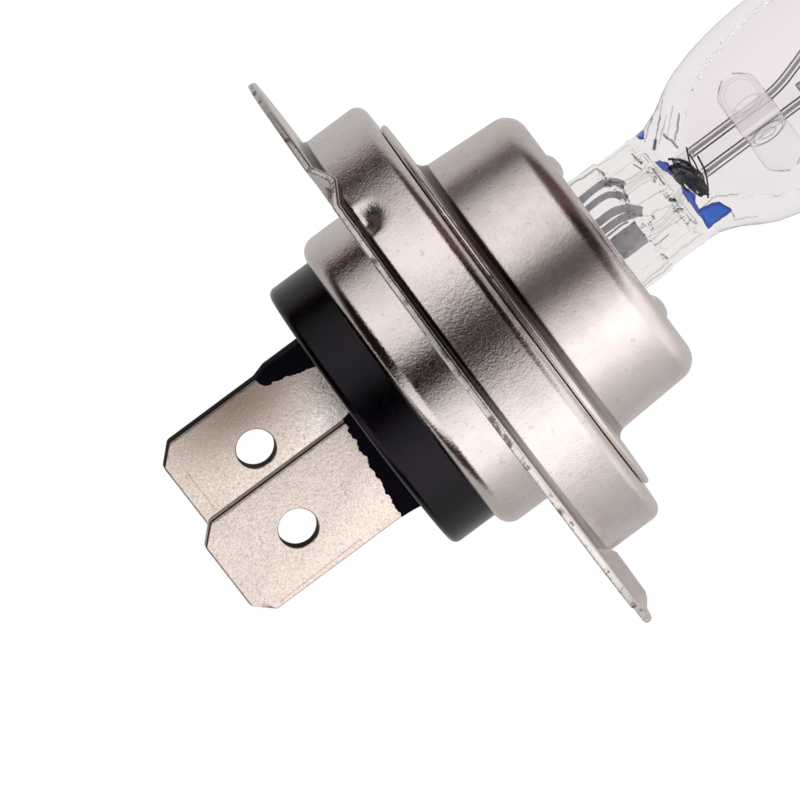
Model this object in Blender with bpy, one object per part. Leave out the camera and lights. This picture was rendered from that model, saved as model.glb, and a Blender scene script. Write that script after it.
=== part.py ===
"""Single-filament headlight bulb with a flanged metal cap.

The lamp axis is +Z with the glass up, and the origin lies on that axis at the
front face of the flange plate, the plane that seats in a lamp housing. +X runs
along the two lugs of the flange, and -Y is the side of the near terminal.
Lengths are in millimetres and become metres where a mesh is written.
"""

from math import atan2, cos, hypot, pi, radians, sin

import bmesh
import bpy
from mathutils import Matrix, Vector

MM = 0.001
GAP = 0.05  # clearance between pieces that touch on a real lamp

# Flange plate and the shallow cup, one stamped sheet
SHEET = 0.5
PLATE_RADIUS = 14.45
LUG_REACH = 18.05
LUG_BREADTH = 12.7
LUG_FULLNESS = {-1: 2.0, 1: 2.6}  # exponent of the lug's outline on -X and +X
RING_RADIUS = 13.75
RING_TOP = 3.9
RING_HOLE = 9.6
RING_FILLET = 0.4
RING_ROUND = 0.7
FIRST_BOSS = -47.0  # degrees from -Y towards +X; three bosses, evenly spread
BOSS_HEIGHT = 0.65
BOSS_HALF_WIDTH = 1.5
BOSS_REACH = 18.2

# Rear barrel
BARREL_RADIUS = 9.45
BARREL_WALL = 0.4
BARREL_REAR = -3.5
BARREL_MOUTH = 8.55
BARREL_FLANGE = 12.6

# Front cup, whose brim lies on the ring
CUP_SHEET = 0.35
CUP_BASE_RADIUS = 8.85
CUP_CROWN_RADIUS = 8.62
CUP_BRIM_RADIUS = 12.0
CUP_BRIM_Z = RING_TOP + GAP
CUP_TOP = 10.15
CUP_ROUND = 1.05
CUP_FILLET = 0.75
SLOT_LENGTH = 7.7
SLOT_BREADTH = 4.1
LIP_REACH = 5.25
LIP_BREADTH = 3.0
LIP_HEIGHT = 0.4

# Retainer and clips of the burner, inside the front cup
RETAINER_SHEET = 0.4
RETAINER_RADIUS = 7.2
CLIP_SHEET = 0.26
CLIP_WIDTH = 3.2

# Terminals: two parallel blades, turned about the lamp axis
BLADE_TURN = 20.0
BLADE_WIDTH = 6.3
BLADE_SHEET = 0.8
BLADE_OFFSET = 1.65
BLADE_SHIFT = 0.1  # of both blades, and again of their latch holes, towards +X
BLADE_SPACING = 5.0
BLADE_HOLE = 2.2
HOLE_FROM_TIP = 4.62
BLADE_CHAMFER = 1.05
COINED_EDGE = 0.2
TIPS = {"near": -17.0, "far": -16.45}
SHOULDER_Z = -3.2
NECK_Z = -1.4
TAIL_WIDTH = 2.4
TAIL_TOP = 2.6

# Black moulding
DISC_RADIUS = 8.49
DISC_REAR = -6.3
DISC_ROUND = 0.4
PLUG_RADIUS = 8.98
PLUG_TOP = 1.0
PAD_REAR = -7.4
PAD_PROUD = 0.5
KEY_REAR = -9.57
KEY_WALL = 0.3

# Glass burner
PINCH_WIDTH = 7.1
PINCH_RIB = 3.4
PINCH_RIB_WIDTH = 0.9
PINCH_WEB = 2.2
PINCH_BOTTOM = 6.6
PINCH_STEP = 12.1
PINCH_TOP = 14.2
GLASS_KNOTS = (  # (radius, z) of the outside, from the neck to the sealed-off tip
    (3.46, 15.3), (3.88, 16.4), (4.5, 17.46), (4.97, 18.54), (5.5, 20.7), (5.77, 23.2), (5.82, 26.0),
    (5.82, 33.4), (5.5, 35.6), (4.4, 37.3), (2.8, 38.45), (1.5, 39.3), (1.15, 40.1), (0.2, 41.0),
)
CAVITY_KNOTS = (
    (0.6, 16.4), (1.6, 16.7), (3.0, 17.7), (3.95, 18.9), (4.5, 20.7), (4.82, 23.2), (4.87, 26.0),
    (4.87, 33.2), (4.5, 35.2), (3.3, 36.7), (1.8, 37.4), (0.4, 37.7),
)
GLASS_STEPS = 48
COAT_FROM = 34.5
COAT_SKIN = 0.12

# Current path inside the burner
FOIL_SHEET = 0.1
FOIL_Z = (8.9, 12.2)
FOILS = {"long": (-1.35, 1.6), "short": (1.2, 1.2)}  # x of the middle, and width
LEAD_RADIUS = 0.3
LEAD_X = {"long": -0.9, "short": 0.42}  # where each inner lead passes the bridge
FILAMENT_Z = (25.0, 29.1)
FILAMENT_RADIUS = 0.66
FILAMENT_WIRE = 0.11
FILAMENT_TURNS = 10
FILAMENT_TURN_STEPS = 14
LEG_X = -0.24
BRIDGE_Z = 20.6
BRIDGE_X = (-3.05, 3.05)
BRIDGE_HEIGHT = 2.5
BRIDGE_DEPTH = 2.0

MATERIALS = {  # colour, roughness, metallic
    "nickel_plate": ((0.72, 0.67, 0.65), 0.3, 1.0),
    "terminal_nickel": ((0.75, 0.68, 0.63), 0.4, 1.0),
    "spring_steel": ((0.45, 0.45, 0.47), 0.35, 1.0),
    "black_moulding": ((0.02, 0.018, 0.022), 0.45, 0.0),
    "quartz": ((0.93, 0.94, 0.96), 0.03, 0.0),
    "lead_wire": ((0.5, 0.49, 0.5), 0.35, 1.0),
    "foil": ((0.4, 0.39, 0.42), 0.4, 1.0),
    "tungsten": ((0.3, 0.3, 0.32), 0.5, 1.0),
    "tip_coat": ((0.03, 0.03, 0.035), 0.5, 0.0),
}


def clear_scene():
    for obj in list(bpy.data.objects):
        bpy.data.objects.remove(obj, do_unlink=True)


def make_material(name):
    colour, roughness, metallic = MATERIALS[name]
    material = bpy.data.materials.new(name)
    material.use_nodes = True
    shader = material.node_tree.nodes["Principled BSDF"]
    shader.inputs["Base Color"].default_value = (*colour, 1.0)
    shader.inputs["Roughness"].default_value = roughness
    shader.inputs["Metallic"].default_value = metallic
    return material


def finish(obj, material, root):
    """Smooth shading, the sub-part's material, and the lamp's empty as its parent."""
    obj.data.shade_smooth()
    obj.data.set_sharp_from_angle(angle=radians(35))
    obj.data.materials.clear()
    obj.data.materials.append(bpy.data.materials.get(material) or make_material(material))
    obj.parent = root


def object_from(work, name):
    """A mesh object from a bmesh in millimetres, its faces turned out."""
    bmesh.ops.scale(work, vec=(MM, MM, MM), verts=work.verts)
    bmesh.ops.recalc_face_normals(work, faces=work.faces)
    if work.calc_volume(signed=True) < 0:
        bmesh.ops.reverse_faces(work, faces=work.faces)
    mesh = bpy.data.meshes.new(name)
    work.to_mesh(mesh)
    work.free()
    obj = bpy.data.objects.new(name, mesh)
    bpy.context.collection.objects.link(obj)
    return obj


def turned(name, profile, steps, closed=True):
    """Spins a profile of (radius, z) about the lamp axis. One that isn't closed ends in flat faces."""
    work = bmesh.new()
    points = [work.verts.new((radius, 0.0, z)) for radius, z in profile]
    pairs = zip(points, points[1:] + points[:1]) if closed else zip(points, points[1:])
    edges = [work.edges.new(pair) for pair in pairs]
    bmesh.ops.spin(
        work, geom=points + edges, axis=(0, 0, 1), cent=(0, 0, 0), steps=steps, angle=2 * pi,
        use_merge=True, use_normal_flip=False, use_duplicate=False,
    )
    if not closed:
        bmesh.ops.holes_fill(work, edges=[edge for edge in work.edges if edge.is_boundary])
    return object_from(work, name)


def lofted(name, rings, ends="caps"):
    """A body through equal rings of points, whose end rings are capped, or joined for a body that goes round."""
    work = bmesh.new()
    loops = [[work.verts.new(point) for point in ring] for ring in rings]
    pairs = list(zip(loops, loops[1:]))
    if ends == "join":
        pairs.append((loops[-1], loops[0]))
    else:
        work.faces.new(loops[0])
        work.faces.new(loops[-1])
    for low, high in pairs:
        for i, vertex in enumerate(low):
            work.faces.new((low[i - 1], vertex, high[i], high[i - 1]))
    return object_from(work, name)


def prism(name, outline, start, end, axis="Z"):
    """Extrudes a closed outline, given in (x, y) along Z or in (x, z) along Y."""
    if axis == "Z":
        return lofted(name, [[(x, y, level) for x, y in outline] for level in (start, end)])
    return lofted(name, [[(x, level, z) for x, z in outline] for level in (start, end)])


def rectangle(x0, x1, y0, y1):
    return [(x0, y0), (x1, y0), (x1, y1), (x0, y1)]


def arc(centre, radius, start, end, steps):
    """Points of an arc, with angles in degrees from the first axis towards the second."""
    angles = [radians(start + (end - start) * i / steps) for i in range(steps + 1)]
    return [(centre[0] + radius * cos(angle), centre[1] + radius * sin(angle)) for angle in angles]


def rounded(outline, radius, steps):
    """The closed outline with every corner rounded off."""
    found = []
    for i, point in enumerate(outline):
        corner = Vector(point)
        before = corner.lerp(Vector(outline[i - 1]), radius / (corner - Vector(outline[i - 1])).length)
        following = Vector(outline[(i + 1) % len(outline)])
        after = corner.lerp(following, radius / (corner - following).length)
        for j in range(steps + 1):
            part = j / steps
            found.append(tuple(before.lerp(corner, part).lerp(corner.lerp(after, part), part)))
    return found


def smooth_path(knots, steps):
    """Points of a Catmull-Rom curve through the knots."""
    knots = [Vector(knot) for knot in knots]
    ends = [knots[0] * 2 - knots[1], *knots, knots[-1] * 2 - knots[-2]]
    found = []
    for a, b, c, d in zip(ends, ends[1:], ends[2:], ends[3:]):
        for j in range(steps):
            t = j / steps
            square = (a * 2 - b * 5 + c * 4 - d) * t**2
            found.append((b * 2 + (c - a) * t + square + (b * 3 - a - c * 3 + d) * t**3) / 2)
    return [*found, knots[-1]]


def wire(name, path, radius, resolution=2):
    """A round wire along a path, from a bevelled curve with filled ends."""
    curve = bpy.data.curves.new(name, "CURVE")
    curve.dimensions = "3D"
    curve.bevel_depth = radius * MM
    curve.bevel_resolution = resolution
    curve.use_fill_caps = True
    spline = curve.splines.new("POLY")
    spline.points.add(len(path) - 1)
    for point, place in zip(spline.points, path):
        point.co = (*(Vector(place) * MM), 1.0)
    guide = bpy.data.objects.new(name, curve)
    bpy.context.collection.objects.link(guide)
    bpy.context.view_layer.update()
    mesh = bpy.data.meshes.new_from_object(guide.evaluated_get(bpy.context.evaluated_depsgraph_get()))
    bpy.data.objects.remove(guide, do_unlink=True)
    work = bmesh.new()
    work.from_mesh(mesh)
    bmesh.ops.remove_doubles(work, verts=work.verts, dist=1e-7)
    bmesh.ops.scale(work, vec=(1 / MM, 1 / MM, 1 / MM), verts=work.verts)
    return object_from(work, name)


def combine(obj, tools, operation):
    """Applies a Boolean with each tool in turn, and removes the tools."""
    for tool in tools:
        modifier = obj.modifiers.new(operation.title(), "BOOLEAN")
        modifier.operation = operation
        modifier.solver = "EXACT"
        modifier.object = tool
        bpy.context.view_layer.update()
        mesh = bpy.data.meshes.new_from_object(obj.evaluated_get(bpy.context.evaluated_depsgraph_get()))
        obj.modifiers.clear()
        obj.data = mesh
        bpy.data.objects.remove(tool, do_unlink=True)
    return obj


def plate_reach(azimuth):
    """Outer radius of the flange plate: a disc, blended with a lug on each side."""
    fullness = LUG_FULLNESS[1 if sin(azimuth) > 0 else -1]
    along, across = abs(sin(azimuth)) / LUG_REACH, abs(cos(azimuth)) / LUG_BREADTH
    lug = (along**fullness + across**fullness) ** (-1 / fullness)
    return (PLATE_RADIUS**24 + lug**24) ** (1 / 24)


def boss_lift(x, y):
    """How far the three radial bosses raise the plate: a roof shape across each one."""
    radius, azimuth = hypot(x, y), atan2(x, -y)
    turn = (azimuth - radians(FIRST_BOSS)) % (2 * pi / 3)
    turn = min(turn, 2 * pi / 3 - turn)
    across = max(0.0, 1.0 - turn * radius / BOSS_HALF_WIDTH)
    inward = min(1.0, max(0.0, (radius - RING_RADIUS - 0.25) / 0.3))
    outward = min(1.0, max(0.0, (BOSS_REACH - radius) / 0.8))
    return BOSS_HEIGHT * across * inward * outward


def make_focus_ring():
    """Flange plate with two lugs and three bosses, and the shallow cup pressed forward out of it."""
    steps, foot, inner = 120, RING_RADIUS + RING_FILLET, RING_RADIUS - SHEET
    crown = arc((RING_RADIUS - RING_ROUND, RING_TOP - RING_ROUND), RING_ROUND, 90, 0, 3)
    front = [(RING_HOLE, RING_TOP), *crown, *arc((foot, RING_FILLET), RING_FILLET, 180, 270, 2)]
    back = [(foot, -SHEET), *arc((inner + 0.5, 0.0), 0.5, 270, 180, 2)]
    back += [*arc((inner - 0.3, RING_TOP - SHEET - 0.3), 0.3, 0, 90, 1), (RING_HOLE, RING_TOP - SHEET)]
    rings = []
    for j in range(steps):
        azimuth = 2 * pi * j / steps
        reach, burr = plate_reach(azimuth), 0.12
        spread = [foot + (reach - burr - foot) * part for part in (0.4, 1.0)]
        land = [(radius, 0.0) for radius in spread] + [(reach, -burr), (reach, burr - SHEET)]
        land += [(radius, -SHEET) for radius in reversed(spread)]
        ring = []
        for radius, z in front + land + back:
            x, y = radius * sin(azimuth), -radius * cos(azimuth)
            ring.append((x, y, z + boss_lift(x, y)))
        rings.append(ring)
    return lofted("focus_ring", rings, ends="join")


def make_rear_barrel():
    """Barrel that holds the black moulding, flared out under the front of the shallow cup."""
    inner = BARREL_RADIUS - BARREL_WALL
    flange_top = RING_TOP - SHEET - GAP
    flange_rear = flange_top - BARREL_WALL
    profile = [(BARREL_MOUTH, BARREL_REAR), *arc((BARREL_RADIUS - 0.9, BARREL_REAR + 0.9), 0.9, 270, 360, 4)]
    profile += arc((BARREL_RADIUS + 0.5, flange_rear - 0.5), 0.5, 180, 90, 2)
    profile += [(BARREL_FLANGE, flange_rear), (BARREL_FLANGE, flange_top)]
    profile += arc((inner + 0.9, flange_top - 0.9), 0.9, 90, 180, 2)
    profile += arc((inner - 0.5, BARREL_REAR + BARREL_WALL + 0.5), 0.5, 0, -90, 2)
    profile[-1] = (BARREL_MOUTH, BARREL_REAR + BARREL_WALL)
    return turned("rear_barrel", profile, 80)


def make_front_cup():
    """Deep cup with a brim. The burner leaves it through a slot in the front face, with a low lip at each end."""
    brim_top = CUP_BRIM_Z + CUP_SHEET
    crown = (CUP_CROWN_RADIUS - CUP_ROUND, CUP_TOP - CUP_ROUND)
    foot = (CUP_BASE_RADIUS + CUP_FILLET, brim_top + CUP_FILLET)
    profile = [(CUP_BRIM_RADIUS, CUP_BRIM_Z), (CUP_BRIM_RADIUS, brim_top), *arc(foot, CUP_FILLET, 270, 180, 3)]
    profile += [*arc(crown, CUP_ROUND, 0, 90, 5), (1.2, CUP_TOP), (1.2, CUP_TOP - CUP_SHEET)]
    profile += arc(crown, CUP_ROUND - CUP_SHEET, 90, 0, 3)
    profile += arc(foot, CUP_FILLET + CUP_SHEET, 180, 270, 2)
    cup = turned("front_cup", profile, 80)
    end, side = SLOT_LENGTH / 2, SLOT_BREADTH / 2
    hole = rounded(rectangle(-end, end, -side, side), 0.6, 3)
    combine(cup, [prism("slot", hole, CUP_TOP - 2, CUP_TOP + 2)], "DIFFERENCE")
    lips = []
    for way in (-1, 1):
        start = end + GAP
        middle = way * (start + LIP_REACH) / 2
        half_length, half_breadth = (LIP_REACH - start) / 2, LIP_BREADTH / 2
        rings = []
        for z, inset in ((-0.2, 0.0), (LIP_HEIGHT - 0.2, 0.0), (LIP_HEIGHT, 0.22)):
            plan = rectangle(inset - half_length, half_length - inset, inset - half_breadth, half_breadth - inset)
            rings.append([(middle + x, y, CUP_TOP + z) for x, y in rounded(plan, 0.3, 2)])
        lips.append(lofted("lip", rings))
    return combine(cup, lips, "UNION")


def make_retainer():
    """Ring welded inside the front cup, under its face, that carries the clips."""
    top = CUP_TOP - CUP_SHEET - GAP
    rear = top - RETAINER_SHEET
    ring = turned("pinch_retainer", [(1.5, top), (RETAINER_RADIUS, top), (RETAINER_RADIUS, rear), (1.5, rear)], 48)
    end, side = SLOT_LENGTH / 2 + 0.1, SLOT_BREADTH / 2 + 0.35
    return combine(ring, [prism("slot", rectangle(-end, end, -side, side), rear - 1, top + 1)], "DIFFERENCE")


def make_clip(name, side):
    """Spring strip under the retainer that presses on one broad face of the pinch."""
    top = CUP_TOP - CUP_SHEET - RETAINER_SHEET - 2 * GAP - CLIP_SHEET / 2
    grip = PINCH_WEB / 2 + GAP + CLIP_SHEET / 2
    middle = [(5.6, top), (2.9, top), (2.2, top - 0.6), (grip, 7.6), (grip + 0.35, 6.8)]
    front, back = [], []
    for i, point in enumerate(middle):
        along = (Vector(middle[min(i + 1, 4)]) - Vector(middle[max(i - 1, 0)])).normalized()
        out = Vector((-along.y, along.x)) * CLIP_SHEET / 2
        front.append(Vector(point) + out)
        back.append(Vector(point) - out)
    outline = [(side * y, z) for y, z in front + back[::-1]]
    rings = [[(x, y, z) for y, z in outline] for x in (-CLIP_WIDTH / 2, CLIP_WIDTH / 2)]
    return lofted(name, rings)


def terminal_outline(tip, margin, shoulder, top):
    """Closed outline of a terminal in (across, z): the blade, its shoulders and the narrow tail."""
    half, tail = BLADE_WIDTH / 2 + margin, TAIL_WIDTH / 2 + margin
    right = [(half - BLADE_CHAMFER, tip), (half, tip + BLADE_CHAMFER), (half, SHOULDER_Z)]
    right += [(tail, shoulder), (tail, top)]
    return right + [(-x, z) for x, z in reversed(right)]


def make_terminal(name, side):
    """Flat blade with coined edges, a latch hole and chamfered corners."""
    tip, half = TIPS[name], BLADE_SHEET / 2
    middle = terminal_outline(tip, 0.0, NECK_Z, TAIL_TOP)
    narrower, bevel = 1 - 2 * COINED_EDGE / BLADE_WIDTH, tip + 1.5 * COINED_EDGE
    face = [(x * narrower, max(z, bevel)) for x, z in middle]
    levels = ((face, -half), (middle, 0.12 - half), (middle, half - 0.12), (face, half))
    blade = lofted(f"terminal_{name}", [[(x, y, z) for x, z in shape] for shape, y in levels])
    hole = arc((BLADE_SHIFT, tip + HOLE_FROM_TIP), BLADE_HOLE / 2, 0, 360, 32)[:-1]
    combine(blade, [prism("hole", hole, -1.0, 1.0, axis="Y")], "DIFFERENCE")
    move_to_side(blade, side)
    blade.rotation_euler.z = radians(BLADE_TURN)
    return blade


def move_to_side(obj, side):
    """Shifts a mesh made about the axis to one terminal's place, in the terminals' own directions."""
    place = Vector((side * BLADE_OFFSET + BLADE_SHIFT, -side * BLADE_SPACING / 2, 0.0)) * MM
    obj.data.transform(Matrix.Translation(place))


def make_insulator():
    """Black moulding: a plug inside the barrel, the disc behind it, a pad at each terminal and one key rib."""
    seat = BARREL_REAR + BARREL_WALL + GAP
    profile = [*arc((DISC_RADIUS - DISC_ROUND, DISC_REAR + DISC_ROUND), DISC_ROUND, 270, 360, 2)]
    profile += [(DISC_RADIUS, seat), (PLUG_RADIUS - 0.45, seat), (PLUG_RADIUS, seat + 0.5)]
    profile += [(PLUG_RADIUS, PLUG_TOP - 0.3), (PLUG_RADIUS - 0.3, PLUG_TOP)]
    body = turned("insulator_base", profile, 80, closed=False)
    half, spread, thick = BLADE_WIDTH / 2, BLADE_SPACING / 2, BLADE_SHEET / 2
    inside, root = DISC_REAR + 1.0, BLADE_OFFSET - half
    near_plan = rectangle(root - 0.1, root + BLADE_WIDTH + 0.3, -spread - thick - PAD_PROUD, thick + 0.6 - spread)
    far_plan = rectangle(-root - BLADE_WIDTH - 0.3, 0.1 - root, spread - thick + 0.12, spread + thick + 0.6)
    pads = [prism("pad", rounded(plan, 0.25, 2), PAD_REAR, inside) for plan in (near_plan, far_plan)]
    edge = BLADE_SHIFT - BLADE_OFFSET - half
    outer = edge - KEY_WALL
    key = [(outer, inside - 0.1), (outer, KEY_REAR + 0.8), (outer + 0.28, KEY_REAR)]
    key += [(edge + 0.45, KEY_REAR + 0.1), (edge + 1.15, PAD_REAR + 0.2), (edge + 1.15, inside - 0.1)]
    pads.append(prism("key", key, spread - thick - PAD_PROUD, spread + 0.2, axis="Y"))
    combine(body, pads, "UNION")
    for side in (1, -1):
        outline = terminal_outline(TIPS["near"], GAP, NECK_Z + GAP, PLUG_TOP + 1)
        slot = prism("slot", outline, -thick - GAP, thick + GAP, axis="Y")
        move_to_side(slot, side)
        combine(body, [slot], "DIFFERENCE")
    body.rotation_euler.z = radians(BLADE_TURN)
    return body


def along_outline(outline, count):
    """Evenly spread points along an open outline, with its end left out."""
    lengths = [0.0]
    for a, b in zip(outline, outline[1:]):
        lengths.append(lengths[-1] + hypot(b[0] - a[0], b[1] - a[1]))
    found, i = [], 0
    for j in range(count):
        target = lengths[-1] * j / count
        while lengths[i + 1] <= target:
            i += 1
        part = (target - lengths[i]) / (lengths[i + 1] - lengths[i])
        found.append(tuple(Vector(outline[i]).lerp(Vector(outline[i + 1]), part)))
    return found


def pinch_section(z, narrowing=1.0):
    """The flattened seal: a web between two thicker edge ribs, with as many points as the bulb's circles."""
    half, rib, web = PINCH_WIDTH / 2, PINCH_RIB / 2, PINCH_WEB / 2
    inner = half - PINCH_RIB_WIDTH
    right = [(half, 0.0), (half, rib - 0.3), (half - 0.3, rib), (inner + 0.15, rib), (inner - 0.25, web)]
    outline = right + [(-x, y) for x, y in reversed(right)]
    upper = along_outline(outline, GLASS_STEPS // 2)
    return [(way * x * narrowing, way * y, z) for way in (1, -1) for x, y in upper]


def circle(radius, z):
    return [(x, y, z) for x, y in arc((0.0, 0.0), radius, 0, 360, GLASS_STEPS)[:-1]]


def make_glass():
    """Burner: pinch seal, neck, bulb and tip. It is hollow, with the channels that the leads and foils fill."""
    rings = [pinch_section(PINCH_BOTTOM), pinch_section(PINCH_STEP - 0.2), pinch_section(PINCH_STEP, 0.97)]
    rings.append(pinch_section(PINCH_TOP, 0.97))
    neck = circle(*GLASS_KNOTS[0])
    for part in (0.35, 0.7):
        rings.append([tuple(Vector(a).lerp(Vector(b), part)) for a, b in zip(rings[3], neck)])
    rings += [circle(*point) for point in smooth_path(GLASS_KNOTS, 2)]
    glass = lofted("glass_envelope", rings)
    channels = [turned("cavity", smooth_path(CAVITY_KNOTS, 2), GLASS_STEPS, closed=False)]
    for path in lead_paths().values():
        foil_side = path[0] + (path[0] - path[1]).normalized() * 0.4
        channels.append(wire("channel", [foil_side, *path], LEAD_RADIUS + GAP))
    for middle, width in FOILS.values():
        side, thick = width / 2 + GAP, FOIL_SHEET / 2 + GAP
        plan = rectangle(middle - side, middle + side, -thick, thick)
        channels.append(prism("channel", plan, FOIL_Z[0] - GAP, FOIL_Z[1] + GAP))
    return combine(glass, channels, "DIFFERENCE")


def lead_weld(side, z):
    """Point of an outer lead's centre line where it lies along the inner face of a terminal's tail."""
    depth = BLADE_SPACING / 2 - BLADE_SHEET / 2 - GAP - LEAD_RADIUS
    place = Vector((side * BLADE_OFFSET, -side * depth, z))
    return Matrix.Rotation(radians(BLADE_TURN), 3, "Z") @ place


def lead_paths():
    """Centre lines of the four leads, each from its foil."""
    bottom, top = FOIL_Z[0] - 2 * GAP, FOIL_Z[1] + 2 * GAP
    beyond = {
        "long": [(-1.35, 0, 24.0), (-2.3, 0, 27.0), (-2.6, 0, 29.5), (-2.2, 0, 31.3), (-1.4, 0, 31.9), (-0.62, 0, 31.95)],
        "short": [(LEAD_X["short"], 0, 24.4)],
    }
    paths = {}
    for kind, side in (("long", -1), ("short", 1)):
        foil, lead = FOILS[kind][0], LEAD_X[kind]
        knots = [(foil, 0, top), (foil, 0, 13.6), (lead + 0.05 * side, 0, 15.6), (lead, 0, 17.0)]
        knots += [(lead, 0, BRIDGE_Z - 1.4), (lead, 0, BRIDGE_Z + 1.4), *beyond[kind]]
        paths[f"inner_lead_{kind}"] = smooth_path(knots, 4)
        knots = [(foil, 0, bottom), (foil, 0, PINCH_BOTTOM - 0.2)]
        knots += [lead_weld(side, z) for z in (3.6, 2.4, 1.3)]
        paths[f"outer_lead_{kind}"] = smooth_path(knots, 4)
    return paths


def make_foil(kind):
    middle, width = FOILS[kind]
    plan = rectangle(middle - width / 2, middle + width / 2, -FOIL_SHEET / 2, FOIL_SHEET / 2)
    return prism(f"seal_foil_{kind}", plan, *FOIL_Z)


def make_bridge():
    """Clear quartz bar that holds the two inner leads apart."""
    middle, half = sum(BRIDGE_X) / 2, BRIDGE_HEIGHT / 2
    outline = rounded(rectangle(BRIDGE_X[0] - middle, BRIDGE_X[1] - middle, -half, half), 0.85, 5)
    rings = []
    for angle in range(-75, 76, 25):
        size = 0.62 + 0.38 * cos(radians(angle))
        depth = BRIDGE_DEPTH / 2 * sin(radians(angle)) / sin(radians(75))
        rings.append([(middle + x * size, depth, BRIDGE_Z + z * size) for x, z in outline])
    bridge = lofted("quartz_bridge", rings)
    holes = []
    for x in LEAD_X.values():
        path = [(x, 0, BRIDGE_Z - 2), (x, 0, BRIDGE_Z + 2)]
        holes.append(wire("hole", path, LEAD_RADIUS + GAP))
    return combine(bridge, holes, "DIFFERENCE")


def make_filament():
    """Coil on the lamp axis, with a straight leg at each end."""
    start, end = FILAMENT_Z
    count = FILAMENT_TURNS * FILAMENT_TURN_STEPS
    path = [(LEG_X, 0.0, 23.35), (LEG_X, 0.0, start - 0.5)]
    for i in range(count + 1):
        angle = pi + 2 * pi * i / FILAMENT_TURN_STEPS
        x, y = FILAMENT_RADIUS * cos(angle), FILAMENT_RADIUS * sin(angle)
        path.append((x, y, start + (end - start) * i / count))
    path += [(-0.35, 0.0, end + 0.45), (0.0, 0.0, end + 0.8), (0.0, 0.0, 32.2)]
    return wire("filament", path, FILAMENT_WIRE, resolution=1)


def make_crimp(name, x, start, end):
    """Small tube that joins a leg of the filament to its lead."""
    inner = FILAMENT_WIRE + GAP
    outer = inner + 0.13
    crimp = turned(name, [(inner, start), (outer, start), (outer, end), (inner, end)], 16)
    crimp.location.x = x * MM
    return crimp


def make_tip_coat():
    """Opaque skin over the end of the glass."""
    line = [point for point in smooth_path(GLASS_KNOTS, 2) if point.y > COAT_FROM]
    inside, outside = [], []
    for i, point in enumerate(line):
        along = (line[min(i + 1, len(line) - 1)] - line[max(i - 1, 0)]).normalized()
        out = Vector((along.y, -along.x))
        inside.append(point + out * GAP)
        outside.append(point + out * (GAP + COAT_SKIN))
    top = line[-1].y
    profile = [(0.0, top + GAP), *reversed(inside), *outside, (0.0, top + GAP + COAT_SKIN)]
    work = bmesh.new()
    points = [work.verts.new((radius, 0.0, z)) for radius, z in profile]
    edges = [work.edges.new(pair) for pair in zip(points, points[1:])]
    bmesh.ops.spin(
        work, geom=points + edges, axis=(0, 0, 1), cent=(0, 0, 0), steps=GLASS_STEPS, angle=2 * pi, use_merge=True,
    )
    bmesh.ops.remove_doubles(work, verts=work.verts, dist=1e-4)
    return object_from(work, "tip_coating")


def main():
    clear_scene()
    root = bpy.data.objects.new("headlight_bulb", None)
    bpy.context.collection.objects.link(root)
    finish(make_focus_ring(), "nickel_plate", root)
    finish(make_rear_barrel(), "nickel_plate", root)
    finish(make_front_cup(), "nickel_plate", root)
    finish(make_retainer(), "spring_steel", root)
    finish(make_clip("pinch_clip_near", -1), "spring_steel", root)
    finish(make_clip("pinch_clip_far", 1), "spring_steel", root)
    finish(make_terminal("near", 1), "terminal_nickel", root)
    finish(make_terminal("far", -1), "terminal_nickel", root)
    finish(make_insulator(), "black_moulding", root)
    finish(make_glass(), "quartz", root)
    finish(make_bridge(), "quartz", root)
    for name, path in lead_paths().items():
        finish(wire(name, path, LEAD_RADIUS), "lead_wire", root)
    for kind in FOILS:
        finish(make_foil(kind), "foil", root)
    finish(make_filament(), "tungsten", root)
    finish(make_crimp("filament_crimp_lower", LEG_X, 23.3, 24.3), "lead_wire", root)
    finish(make_crimp("filament_crimp_upper", 0.0, 31.0, 32.0), "lead_wire", root)
    finish(make_tip_coat(), "tip_coat", root)


main()
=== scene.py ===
"""Studio scene of a single-filament headlight bulb.

The packed model gives the frame: the lamp axis is +Z with the glass up, the
origin lies at the front face of the flange plate, +X runs along the lugs and -Y
is the side of the near terminal. Lengths in the sections below are millimetres.
"""

from math import atan2, cos, hypot, pi, radians, sin
from random import Random

import bmesh
import bpy
from bpy.props import FloatProperty, FloatVectorProperty, IntProperty, PointerProperty
from mathutils import Matrix, Vector, noise


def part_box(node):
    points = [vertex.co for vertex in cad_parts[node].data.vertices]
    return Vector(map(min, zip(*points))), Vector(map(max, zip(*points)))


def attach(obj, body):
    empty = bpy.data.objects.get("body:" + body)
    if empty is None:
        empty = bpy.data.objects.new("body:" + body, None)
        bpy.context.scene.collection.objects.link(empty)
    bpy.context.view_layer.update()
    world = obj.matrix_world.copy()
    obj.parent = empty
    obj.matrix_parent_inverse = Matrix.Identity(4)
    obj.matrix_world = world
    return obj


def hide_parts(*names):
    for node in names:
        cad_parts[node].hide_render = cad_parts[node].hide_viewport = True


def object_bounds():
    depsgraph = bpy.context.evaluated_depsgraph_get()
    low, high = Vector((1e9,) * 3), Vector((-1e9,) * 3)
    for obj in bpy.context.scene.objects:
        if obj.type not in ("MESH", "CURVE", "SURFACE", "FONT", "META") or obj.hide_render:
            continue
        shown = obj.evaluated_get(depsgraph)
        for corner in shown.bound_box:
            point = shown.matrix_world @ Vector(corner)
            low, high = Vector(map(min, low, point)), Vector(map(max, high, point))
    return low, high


bl_info = {
    "name": "Headlight Bulb",
    "version": (1, 0, 0),
    "blender": (4, 5, 0),
    "location": "View3D > Sidebar > Bulb",
    "description": "Builds the visible pieces of a flanged headlight bulb around its packed model",
    "category": "Object",
}

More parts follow.
